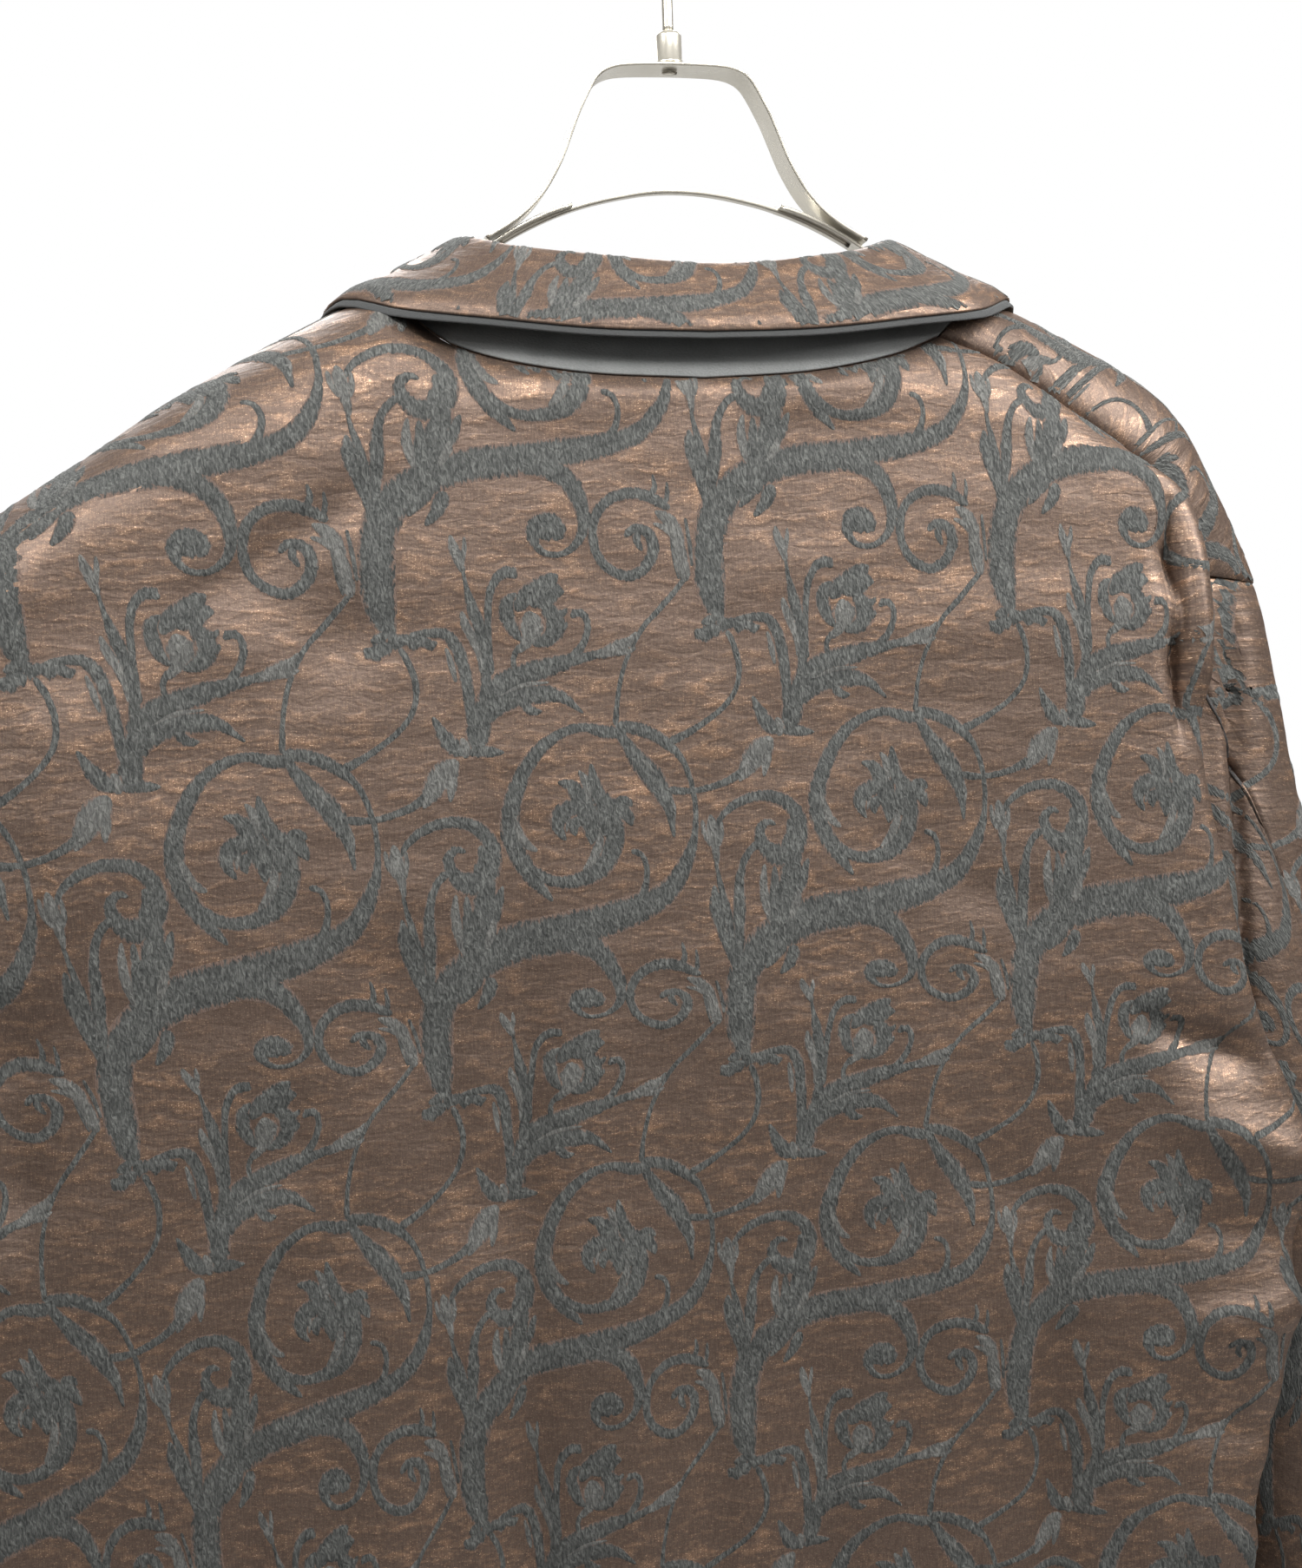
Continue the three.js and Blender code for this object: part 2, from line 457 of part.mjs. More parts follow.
// At a seam each piece is drawn back from the other: by half the gap, and by what its wall needs to
// clear the other's where the two meet at an angle.
const MOST_DRAWN = 2.4;
const SEAM_REACH = 1.8;        // points of two rims closer than this belong to one seam
function drawBackRims() {
  const rims = [];
  for (const piece of pieces) {
    const { grid, normals, wraps } = piece;
    const last = grid.length - 1;
    grid.forEach((column, i) => column.forEach((point, j) => {
      const sideward = !wraps && (i === 0 || i === last) ? grid[i === 0 ? 1 : last - 1][j] : null;
      const endward = j === 0 || j === column.length - 1 ? column[j === 0 ? 1 : j - 1] : null;
      if (!sideward && !endward) return;
      const normal = normals[i][j];
      const next = grid[(i + 1) % grid.length][j];
      const before = grid[(i + last) % grid.length][j];
      const downward = new THREE.Vector3()
        .subVectors(column[Math.min(j + 1, column.length - 1)], column[Math.max(0, j - 1)]);
      const onward = new THREE.Vector3()
        .subVectors(i === last && !wraps ? point : next, i === 0 && !wraps ? point : before);
      const inward = (along, neighbour) => {
        const step = along.clone().cross(normal).normalize();
        return step.multiplyScalar(Math.sign(step.dot(new THREE.Vector3().subVectors(neighbour, point))));
      };
      const moves = [];
      if (sideward) moves.push(inward(downward, sideward));
      if (endward) moves.push(inward(onward, endward));
      rims.push({ point, normal, moves, from: point.clone() });
    }));
  }
  for (const rim of rims) {
    const near = rims.filter((other) => other.from.distanceTo(rim.from) < SEAM_REACH);
    const least = Math.min(...near.map((other) => other.normal.dot(rim.normal)));
    const angle = Math.acos(THREE.MathUtils.clamp(least, -1, 1));
    const drawn = Math.min(MOST_DRAWN, SEAM_GAP / 2 + WALL / 2 * Math.tan(Math.min(angle, 2.8) / 2));
    rim.moves.forEach((move) => rim.point.addScaledVector(move, drawn));
  }
}

// A closed wall on both sides of a grid.
function wallGeometry(piece) {
  const { grid } = piece;
  const columns = grid.length;
  const rows = grid[0].length;
  const positions = [];
  for (const sign of [0.5, -0.5]) {
    grid.forEach((column, i) => column.forEach((point, j) => {
      positions.push(...point.clone().addScaledVector(piece.normals[i][j], sign * WALL).toArray());
    }));
  }
  const index = (i, j, inner) => (i % columns) * rows + j + (inner ? columns * rows : 0);
  const triangles = [];
  const quad = (a, b, c, d) => {
    if (piece.turn > 0) triangles.push(a, b, c, a, c, d); else triangles.push(a, c, b, a, d, c);
  };
  const cells = piece.wraps ? columns : columns - 1;
  for (let i = 0; i < cells; i += 1) {
    for (let j = 0; j < rows - 1; j += 1) {
      quad(index(i, j), index(i + 1, j), index(i + 1, j + 1), index(i, j + 1));
      quad(index(i, j, 1), index(i, j + 1, 1), index(i + 1, j + 1, 1), index(i + 1, j, 1));
    }
    quad(index(i, 0, 1), index(i + 1, 0, 1), index(i + 1, 0), index(i, 0));
    quad(index(i, rows - 1), index(i + 1, rows - 1), index(i + 1, rows - 1, 1), index(i, rows - 1, 1));
  }
  if (!piece.wraps) {
    for (let j = 0; j < rows - 1; j += 1) {
      quad(index(0, j), index(0, j + 1), index(0, j + 1, 1), index(0, j, 1));
      const end = columns - 1;
      quad(index(end, j, 1), index(end, j + 1, 1), index(end, j + 1), index(end, j));
    }
  }
  const geometry = new THREE.BufferGeometry();
  geometry.setAttribute('position', new THREE.Float32BufferAttribute(positions, 3));
  geometry.setIndex(triangles);
  return geometry;
}

// ---- the jacket -----------------------------------------------------------------------------
const CLOTH = { color: 0x7f5f4f, roughness: 0.6, metalness: 0.35 };
const UNDER_CLOTH = { color: 0x3c3e3e, roughness: 0.85, metalness: 0 };
const BUTTON_FINISH = { color: 0x2b2624, roughness: 0.4, metalness: 0 };
const NICKEL = { color: 0xc9c4ba, roughness: 0.28, metalness: 1 };

const jacket = new THREE.Group();
const half = {};
for (const side of ['left', 'right']) {
  const back = backHalf(side);
  const front = frontPanel(side, back);
  const sleeve = sleeveTube(side, back, front);
  half[side] = { back, front: folded(side, front), sleeve: folded(side, sleeve) };
  half[side].collar = collarColumns(side, back, half[side].front);
}
// Grid columns run from the wearer's left to the right, or outward on the left half.
const joined = (name) => [
  ...mirrored('left', half.left[name]).reverse(), ...mirrored('right', half.right[name]).slice(1),
];
addPiece('back', CLOTH, joined('back'), { turn: -1 });
for (const side of ['left', 'right']) {
  const turn = side === 'left' ? -1 : 1;
  addPiece(`front_${side}`, CLOTH, mirrored(side, half[side].front), { turn });
  addPiece(`sleeve_${side}`, CLOTH, mirrored(side, half[side].sleeve), { wraps: true, turn: -turn });
  addPiece(`lapel_${side}`, CLOTH, mirrored(side, lapelPanel(side)), { turn });
}
const collar = joined('collar');
addPiece('under_collar', UNDER_CLOTH, collar, { turn: -1 });
const collarNormals = gridNormals(collar, false, -1);
const TOP_COLLAR_LIFT = WALL + 1.2;
addPiece('collar_fall', CLOTH, collar.map((column, i) => column.map((point, j) => (
  point.clone().addScaledVector(collarNormals[i][j], TOP_COLLAR_LIFT)))), { turn: -1 });
drawBackRims();

function addMesh(name, geometry, finish) {
  const mesh = new THREE.Mesh(geometry, new THREE.MeshStandardMaterial(finish));
  mesh.name = name;
  jacket.add(mesh);
  return mesh;
}
for (const piece of pieces) addMesh(piece.name, wallGeometry(piece), piece.finish);

// Plain buttons sewn down the middle of the lapped fronts, dished inside a rounded rim.
const buttonProfile = [
  [0, 0], [BUTTON.radius - 0.8, 0], [BUTTON.radius, 0.8], [BUTTON.radius, BUTTON.thick - 1],
  [BUTTON.radius - 1, BUTTON.thick], [BUTTON.radius - 2.6, BUTTON.thick],
  [BUTTON.radius - 4, BUTTON.thick - 0.9], [0, BUTTON.thick - 0.9],
].map(([r, h]) => new THREE.Vector2(r, h));
BUTTON_Z.forEach((z, i) => {
  const button = addMesh(`button_${i + 1}`, new THREE.LatheGeometry(buttonProfile, 32), BUTTON_FINISH);
  button.rotation.x = Math.PI;
  button.position.set(0, read(FRONT.left, 'z', 'midY', z) - WALL / 2 - 0.6, z);
});

// ---- the hanger -----------------------------------------------------------------------------
// The wire hook: a straight stem on the axis, an S-bend, and the round over the rail.
const wireRadius = HOOK.radius + HOOK.wire;
const hookPath = new THREE.CurvePath();
const bend = new THREE.Vector3(wireRadius, 0, -HOOK.radius);
hookPath.add(new THREE.LineCurve3(new THREE.Vector3(0, 0, FERRULE.top + 0.3), new THREE.Vector3(0, 0, -56)));
hookPath.add(new THREE.CubicBezierCurve3(new THREE.Vector3(0, 0, -56), new THREE.Vector3(0, 0, -42),
  new THREE.Vector3(wireRadius, 0, -34), bend));
const ARC_STEPS = 20;
const TIP_ANGLE = Math.PI * 1.12;
const arcPoint = (i) => {
  const angle = TIP_ANGLE * i / ARC_STEPS;
  return new THREE.Vector3(wireRadius * Math.cos(angle), 0, -HOOK.radius + wireRadius * Math.sin(angle));
};
const arcPoints = Array.from({ length: ARC_STEPS + 1 }, (_, i) => arcPoint(i));
hookPath.add(new THREE.CatmullRomCurve3(arcPoints));
const wireSection = new THREE.Shape().absarc(0, 0, HOOK.wire, 0, Math.PI * 2);
addMesh('hook', new THREE.ExtrudeGeometry(wireSection, {
  steps: 64, curveSegments: 8, extrudePath: hookPath,
}), NICKEL);

const ferruleProfile = [
  [0, FERRULE.foot], [FERRULE.radius + 0.5, FERRULE.foot], [FERRULE.radius + 0.5, FERRULE.foot + 1.2],
  [FERRULE.radius, FERRULE.foot + 1.6], [FERRULE.radius, FERRULE.top - 1.8],
  [FERRULE.radius - 0.6, FERRULE.top - 0.6], [FERRULE.radius - 1.9, FERRULE.top], [0, FERRULE.top],
].map(([r, h]) => new THREE.Vector2(r, h));
addMesh('ferrule', new THREE.LatheGeometry(ferruleProfile, 32), NICKEL).rotation.x = Math.PI / 2;

// A flat bar bent in the plane of the hanger: its middle line, thickened and given its depth.
function barGeometry(line, thick, depth) {
  const sides = [1, -1].map((sign) => line.map((p, i) => {
    const before = line[Math.max(0, i - 1)];
    const after = line[Math.min(line.length - 1, i + 1)];
    const along = new THREE.Vector2().subVectors(after, before).normalize();
    return new THREE.Vector2(p.x - along.y * sign * thick / 2, p.y + along.x * sign * thick / 2);
  }));
  const shape = new THREE.Shape([...sides[0], ...sides[1].reverse()]);
  const geometry = new THREE.ExtrudeGeometry(shape, { depth, bevelEnabled: false });
  geometry.translate(0, 0, -depth / 2);
  geometry.rotateX(Math.PI / 2);
  return geometry;
}
const bothWays = (points) => [
  ...points.map((p) => new THREE.Vector2(-p.x, p.z)).reverse(),
  ...points.filter((p) => p.x > 0).map((p) => new THREE.Vector2(p.x, p.z)),
];

// The neck strap: straight across the top, round corners, legs spreading down to the arm bar.
const strapZ = STRAP.top - STRAP.thick / 2 + 1;
const CORNER = 9;
const strapLine = [{ x: 0, z: strapZ }, { x: STRAP.halfTop - CORNER, z: strapZ }];
for (const angle of [20, 40, 60].map(THREE.MathUtils.degToRad)) {
  const across = CORNER * Math.sin(angle);
  strapLine.push({ x: STRAP.halfTop - CORNER + across, z: strapZ - CORNER * (1 - Math.cos(angle)) });
}
strapLine.push(...STRAP_LEG);
const legEnd = { x: 77, z: read(ARM_LINE, 'x', 'z', 77) + 0.8 + STRAP.thick / 2 };
strapLine.push(legEnd);
addMesh('neck_strap', barGeometry(bothWays(strapLine), STRAP.thick, STRAP.depth), NICKEL);

const ARM_POINTS = 17;
const armReach = ARM_LINE.at(-1).x;
const armLine = Array.from({ length: ARM_POINTS }, (_, i) => {
  const x = armReach * i / (ARM_POINTS - 1);
  return { x, z: read(ARM_LINE, 'x', 'z', x) - ARM.thick / 2 };
});
addMesh('arm_bar', barGeometry(bothWays(armLine), ARM.thick, ARM.depth), NICKEL);

// The rivet's head under the strap, below the ferrule.
const rivetTop = strapZ - STRAP.thick / 2 - 0.3;
const rivetProfile = [[0, 0], [3.4, 0], [3.1, -0.7], [2.2, -1.2], [0, -1.3]]
  .map(([r, h]) => new THREE.Vector2(r, rivetTop + h)).reverse();
addMesh('rivet', new THREE.LatheGeometry(rivetProfile, 24), NICKEL).rotation.x = Math.PI / 2;

export default jacket;
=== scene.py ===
import math

import bmesh
import bpy
import numpy as np
from mathutils import Matrix, Vector
from mathutils.bvhtree import BVHTree
from mathutils.geometry import delaunay_2d_cdt
from mathutils.interpolate import poly_3d_calc


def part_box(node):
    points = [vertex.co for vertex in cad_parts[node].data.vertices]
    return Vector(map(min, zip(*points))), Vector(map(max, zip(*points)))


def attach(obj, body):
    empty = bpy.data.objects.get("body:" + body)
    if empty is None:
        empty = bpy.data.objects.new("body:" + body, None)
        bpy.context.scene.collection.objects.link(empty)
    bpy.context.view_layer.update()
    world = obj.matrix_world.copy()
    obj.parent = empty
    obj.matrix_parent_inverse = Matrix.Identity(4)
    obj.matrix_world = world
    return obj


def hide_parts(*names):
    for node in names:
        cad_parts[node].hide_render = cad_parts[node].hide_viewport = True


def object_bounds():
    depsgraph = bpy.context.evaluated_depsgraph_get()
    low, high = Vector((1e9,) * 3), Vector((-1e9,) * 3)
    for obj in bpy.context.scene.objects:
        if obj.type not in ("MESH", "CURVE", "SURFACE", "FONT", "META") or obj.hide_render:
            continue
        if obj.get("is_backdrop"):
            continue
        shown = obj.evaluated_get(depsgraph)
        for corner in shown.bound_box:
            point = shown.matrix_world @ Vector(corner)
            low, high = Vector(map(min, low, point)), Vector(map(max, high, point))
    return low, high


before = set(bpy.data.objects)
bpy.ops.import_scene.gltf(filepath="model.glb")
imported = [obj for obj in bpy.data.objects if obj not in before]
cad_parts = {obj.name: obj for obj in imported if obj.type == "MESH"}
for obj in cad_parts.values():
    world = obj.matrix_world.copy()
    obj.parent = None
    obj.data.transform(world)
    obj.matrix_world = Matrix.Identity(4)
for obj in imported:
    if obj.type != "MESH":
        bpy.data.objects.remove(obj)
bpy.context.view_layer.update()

# ---- camera -------------------------------------------------------------------------------
# A portrait view of the jacket's back from a metre away, a little to the wearer's left and very
# nearly level. It takes in the hanger's neck, the collar, both shoulders and the upper back.
CAMERA_PLACE, LENS, FILM = (0.2197, 1.0318, -0.3836), 55.46, 36
heading, tilt, lean = math.radians(169), math.radians(-0.9), math.radians(-2)
level_ahead = Vector((-math.sin(heading), math.cos(heading), 0))
ahead = level_ahead * math.cos(tilt) + Vector((0, 0, math.sin(tilt)))
level_right = ahead.cross(Vector((0, 0, 1))).normalized()
level_up = level_right.cross(ahead)
across = level_right * math.cos(lean) + level_up * math.sin(lean)
upward = level_up * math.cos(lean) - level_right * math.sin(lean)
camera = bpy.data.objects.new("camera", bpy.data.cameras.new("camera"))
camera.data.sensor_width, camera.data.lens = FILM, LENS
camera.data.clip_start, camera.data.clip_end = 0.01, 50
turned = Matrix((across, upward, -ahead)).transposed().to_4x4()
camera.matrix_world = Matrix.Translation(CAMERA_PLACE) @ turned
bpy.context.scene.collection.objects.link(camera)
bpy.context.scene.camera = camera

# ---- studio -------------------------------------------------------------------------------
# A round pale floor under the hanging jacket, in a white room. Soft lamps stand behind it, high,
# low and to both sides; in front of it are one more lamp and a wide pale wall of light.
WHITE = (1, 1, 1, 1)
ROOM_GLOW = 0.12               # what the room gives to all but the camera, which sees plain white
GLOW_BY_HEIGHT = ((0.4, 0.14), (0.95, 2.2))    # it is dim from below and bright from above
bpy.context.scene.view_settings.view_transform = "Standard"
world = bpy.data.worlds.new("white_room")
bpy.context.scene.world = world
world.use_nodes = True
room = world.node_tree
room.nodes.clear()
seen = room.nodes.new("ShaderNodeBackground")
seen.inputs["Color"].default_value = WHITE
seen.inputs["Strength"].default_value = 1.0
glow = room.nodes.new("ShaderNodeBackground")
glow.inputs["Strength"].default_value = ROOM_GLOW
direction = room.nodes.new("ShaderNodeTexCoord")
height = room.nodes.new("ShaderNodeSeparateXYZ")
overhead = room.nodes.new("ShaderNodeValToRGB")
for step, (place, bright) in zip(overhead.color_ramp.elements, GLOW_BY_HEIGHT):
    step.position = place
    step.color = (bright, bright, bright, 1)
half_up = room.nodes.new("ShaderNodeMath")
half_up.operation = "MULTIPLY_ADD"
for socket in half_up.inputs[1:]:
    socket.default_value = 0.5
path = room.nodes.new("ShaderNodeLightPath")
either = room.nodes.new("ShaderNodeMixShader")
out = room.nodes.new("ShaderNodeOutputWorld")
for source, target in ((direction.outputs["Generated"], height.inputs[0]),
                       (height.outputs["Z"], half_up.inputs[0]),
                       (half_up.outputs[0], overhead.inputs[0]),
                       (overhead.outputs[0], glow.inputs["Color"]),
                       (path.outputs["Is Camera Ray"], either.inputs[0]),
                       (glow.outputs[0], either.inputs[1]),
                       (seen.outputs[0], either.inputs[2]),
                       (either.outputs[0], out.inputs[0])):
    room.links.new(source, target)


def soft_light(name, place, aim, size, power, beam=180):
    """A rectangular lamp at a place, facing its aim: size in m, power in W, beam in degrees."""
    lamp = bpy.data.lights.new(name, "AREA")
    lamp.shape, lamp.size, lamp.size_y, lamp.energy = "RECTANGLE", size[0], size[1], power
    lamp.spread = math.radians(beam)
    holder = bpy.data.objects.new(name, lamp)
    holder.location = place
    holder.rotation_euler = (Vector(aim) - Vector(place)).to_track_quat("-Z", "Y").to_euler()
    holder.visible_camera = False
    bpy.context.scene.collection.objects.link(holder)


soft_light("main_light", (0.0, 1.5, 0.9), (0.0, 0, -0.07), (0.9, 0.5), 3.05, 52)
soft_light("low_light", (0.15, 1.8, -0.12), (0.0, 0, -0.2), (0.9, 0.6), 1.7)
soft_light("top_light", (0.0, 0.6, 0.42), (0.0, 0.02, -0.2), (1.2, 0.4), 0.4)
soft_light("left_light", (0.95, 0.55, 0.4), (0.25, 0, -0.2), (0.5, 0.6), 6.0, 120)
soft_light("right_light", (-0.9, 0.55, 0.32), (-0.22, 0, -0.3), (0.5, 0.7), 9.6, 130)
soft_light("front_light", (-0.1, -1.5, 1.0), (0, 0, -0.4), (1.5, 1.0), 44)
soft_light("front_wall", (0.2, -1.8, -0.1), (0.1, 0, -0.1), (2.6, 2.2), 15)

FLOOR_Z, FLOOR_RADIUS, FLOOR_SIDES = -1.32, 1.6, 96
FLOOR_COLOUR, FLOOR_ROUGH = (0.8, 0.8, 0.8, 1), 0.7
floor_mesh = bpy.data.meshes.new("floor")
floor_turns = np.linspace(0, 2 * math.pi, FLOOR_SIDES, endpoint=False)
floor_mesh.from_pydata([(FLOOR_RADIUS * math.cos(turn), FLOOR_RADIUS * math.sin(turn), FLOOR_Z)
                        for turn in floor_turns], [], [tuple(range(FLOOR_SIDES))])
floor = bpy.data.objects.new("floor", floor_mesh)
floor_paint = bpy.data.materials.new("floor_paint")
floor_paint.use_nodes = True
floor_shader = floor_paint.node_tree.nodes["Principled BSDF"]
floor_shader.inputs["Base Color"].default_value = FLOOR_COLOUR
floor_shader.inputs["Roughness"].default_value = FLOOR_ROUGH
floor_mesh.materials.append(floor_paint)
bpy.context.scene.collection.objects.link(floor)
floor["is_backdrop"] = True

# ---- hanger -------------------------------------------------------------------------------
# A shop's display hanger: flat steel bar bent into a neck strap and an arm bar, a turned
# ferrule and a wire hook, held by one rivet, all plated in light brushed nickel.
MM = 0.001


class Finish:
    """A material with its shader and short ways to add and join nodes."""

    def __init__(self, name, **sockets):
        self.material = bpy.data.materials.new(name)
        self.material.use_nodes = True
        self.tree = self.material.node_tree
        self.shader = self.tree.nodes["Principled BSDF"]
        for socket, value in sockets.items():
            self.shader.inputs[socket.replace("_", " ")].default_value = value

    def join(self, value, socket):
        """Gives a socket another node's output, a number or a colour."""
        if isinstance(value, bpy.types.NodeSocket):
            self.tree.links.new(value, socket)
        else:
            socket.default_value = value

    def node(self, kind, settings=None, output=0, **sockets):
        made = self.tree.nodes.new("ShaderNode" + kind)
        for key, value in (settings or {}).items():
            setattr(made, key, value)
        for socket, value in sockets.items():
            self.join(value, made.inputs[socket.replace("_", " ")])
        return made.outputs[output]

    def noise(self, place, scale, turn=0, **settings):
        """Noise that is stretched by a scale for each way, and turned by degrees."""
        stretched = self.node("Mapping", Vector=place, Rotation=(0, 0, math.radians(turn)), Scale=scale)
        return self.node("TexNoise", Vector=stretched, Scale=1.0, **settings)

    def feed(self, socket, source):
        self.tree.links.new(source, self.shader.inputs[socket])

    def ramp(self, source, *stops):
        """Turns a value into numbers or colours, from (value, number or colour) stops."""
        made = self.tree.nodes.new("ShaderNodeValToRGB")
        self.tree.links.new(source, made.inputs[0])
        steps = made.color_ramp.elements
        while len(steps) < len(stops):
            steps.new(0.5)
        for step, (place, colour) in zip(steps, stops):
            step.position = place
            step.color = (*colour, 1) if isinstance(colour, tuple) else (colour, colour, colour, 1)
        return made.outputs[0]

    def blend(self, share, low, high, kind="MIX"):
        """Mixes two colours, or two outputs, by a share."""
        made = self.tree.nodes.new("ShaderNodeMix")
        made.data_type, made.blend_type = "RGBA", kind
        for place, value in ((0, share), (6, low), (7, high)):
            self.join((*value, 1) if isinstance(value, tuple) else value, made.inputs[place])
        return made.outputs[2]


nickel = Finish("brushed_nickel", Metallic=0.75)
place = nickel.node("TexCoord", output="Object")
brushing = nickel.noise(place, (60, 900, 60), Detail=3.0)
clouds = nickel.node("TexNoise", Vector=place, Scale=55.0, Detail=2.0)
nickel.feed("Base Color", nickel.blend(brushing, (0.57, 0.535, 0.455), (0.73, 0.69, 0.595)))
nickel.feed("Roughness", nickel.ramp(nickel.blend(0.5, brushing, clouds), (0.3, 0.22), (0.7, 0.42)))
nickel.feed("Normal", nickel.node("Bump", Strength=0.12, Distance=0.0002, Height=brushing))

WELD = 0.02 * MM               # the turned parts' facets share their corners, so they shade smoothly
for name in ("hook", "ferrule", "rivet"):
    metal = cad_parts[name]
    metal.data.materials.clear()
    metal.data.materials.append(nickel.material)
    weld = metal.modifiers.new("weld", "WELD")
    weld.merge_threshold = WELD
    metal.data.polygons.foreach_set("use_smooth", [True] * len(metal.data.polygons))


def smooth_line(points, count):
    """A smooth line of `count` points through the given ones."""
    p = np.array(points, float)
    p = np.concatenate([2 * p[:1] - p[1:2], p, 2 * p[-1:] - p[-2:-1]])
    t = np.linspace(0, len(p) - 3 - 1e-9, count)
    i, f = t.astype(int), (t % 1)[:, None]
    a, b, c, d = p[i], p[i + 1], p[i + 2], p[i + 3]
    return b + 0.5 * f * (c - a + f * (2 * a - 5 * b + 4 * c - d + f * (3 * (b - c) + d - a)))


def tube_faces(rows, ring, first=0):
    """Faces of a closed tube of `rows` rings, whose points are numbered from `first`."""
    index = first + np.arange(rows * ring).reshape(rows, ring)
    after = np.roll(index, -1, 1)
    around = np.stack([index[:-1], index[1:], after[1:], after[:-1]], -1).reshape(-1, 4)
    return around.tolist() + [index[0].tolist(), index[-1][::-1].tolist()]


def linked(name, mesh, materials):
    """An object of a smoothly shaded mesh with the given materials."""
    mesh.polygons.foreach_set("use_smooth", [True] * len(mesh.polygons))
    for material in materials:
        mesh.materials.append(material)
    thing = bpy.data.objects.new(name, mesh)
    bpy.context.scene.collection.objects.link(thing)
    return thing


BAR_RING, EDGE_ROUND = 16, 0.4         # points round a bar, and its edges' radius in thicknesses


def flat_bar(name, node, line, thick, depth):
    """A flat bar with rounded edges, bent along a line of (x, z) points, in mm."""
    line = smooth_line(line, 3 * len(line))
    along = np.gradient(line, axis=0)
    along /= np.linalg.norm(along, axis=1, keepdims=True)
    turn = np.linspace(0, 2 * math.pi, BAR_RING, endpoint=False) + math.pi / BAR_RING
    edge = thick * EDGE_ROUND
    out = np.sign(np.cos(turn)) * (thick / 2 - edge) + edge * np.cos(turn)
    deep = np.sign(np.sin(turn)) * (depth / 2 - edge) + edge * np.sin(turn)
    points = np.stack([line[:, :1] - along[:, 1:] * out, deep + 0 * line[:, :1],
                       line[:, 1:] + along[:, :1] * out], -1)
    rows, ring = points.shape[:2]
    faces = tube_faces(rows, ring)
    mesh = bpy.data.meshes.new(name)
    mesh.from_pydata((points.reshape(-1, 3) * MM).tolist(), [], faces)
    bar = linked(name, mesh, [nickel.material])
    bar.modifiers.new("even_shine", "WEIGHTED_NORMAL").keep_sharp = True
    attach(bar, "root")
    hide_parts(node)


def both_sides(leg):
    """A line from the wearer's right to the left, from the (x, z) points of its left half."""
    return [(-x, z) for x, z in leg[::-1] if x] + list(leg)


flat_bar("neck_strap_bar", "neck_strap", both_sides((
    (0, -90.1), (14, -90.3), (22, -90.8), (27, -91.8), (31, -93.6), (34, -96.3), (36.6, -100.3),
    (39.2, -105.2), (42.6, -112.2), (46.1, -121), (49.8, -130.3), (54.1, -138.6), (58.2, -145),
    (63, -150.6), (68, -155.2), (73, -158.9), (78, -161.9), (84, -165.4))), 1.6, 20)
flat_bar("arm_rod", "arm_bar", both_sides((
    (0, -143.1), (10, -143.5), (20, -144.8), (30, -146.8), (40, -149.3), (50, -152.6),
    (60, -156.8), (70, -161.8), (78, -166.4))), 2.3, 4.6)
for side, facing in (("left", 1), ("right", -1)):
    flat_bar("arm_" + side + "_bar", "arm_bar", [(facing * x, z) for x, z in (
        (46, -150.2), (57, -154), (68, -159.2), (78, -165), (88, -172), (98, -180.6), (115, -191.6),
        (136, -203.6), (170, -216.6), (205, -234))], 1.8, 13)

# ---- back ---------------------------------------------------------------------------------
# The back is cut in one piece from a jacquard with a copper lame ground. It hangs from the
# shoulder seams, spread flat to the wearer's left and folded in behind the arm to the right.
WALL = 1.4                     # cloth with its backing
HEM_Z, UNDERARM_Z = -955, -572
SHOULDER_DROP = 46             # height of the round of cloth over the shoulder
MEAN_TOP = -330                # where the hanging face starts, on the average
CLOSING_FROM = 0.45            # along the shoulder, where columns start to lean outward
LEAN_DROP = {"left": 0.64, "right": 0}         # how much lower a leaning column starts to hang


def stations(names, *rows):
    """A table with a named column for each place in its rows (lengths in mm)."""
    return dict(zip(names.split(), np.array(rows, float).T))


SHOULDER = {
    "left": stations(
        "t ridgeX ridgeZ seamX seamY seamZ",
        (0, 131, -190, 131, -4, -190.2), (0.25, 165, -205, 165, -6, -205.5),
        (0.5, 208, -227.5, 208, -7, -228.5), (0.72, 248, -253, 247, -7, -254),
        (0.88, 279, -272, 278, -6, -273), (1, 305, -290, 303, -5, -291)),
    "right": stations(
        "t ridgeX ridgeZ seamX seamY seamZ",
        (0, 130, -191, 107, 35, -212), (0.25, 160, -203, 133, 37.5, -223.5),
        (0.5, 198, -223, 166, 40, -246), (0.72, 225, -246, 192, 43, -266),
        (0.88, 244, -281, 204, 43, -286), (1, 263, -319, 197, 37, -314)),
}
NECK = {
    "left": stations("t x y z", (0, 0, 50, -232), (0.4, 56, 48, -228.5), (0.75, 102, 37, -216),
                     (0.93, 125, 12, -194), (1, 131, -4, -190.2)),
    "right": stations("t x y z", (0, 0, 50, -232), (0.4, 46, 48.5, -229), (0.75, 83, 42.5, -221.5),
                      (1, 107, 35, -212)),
}
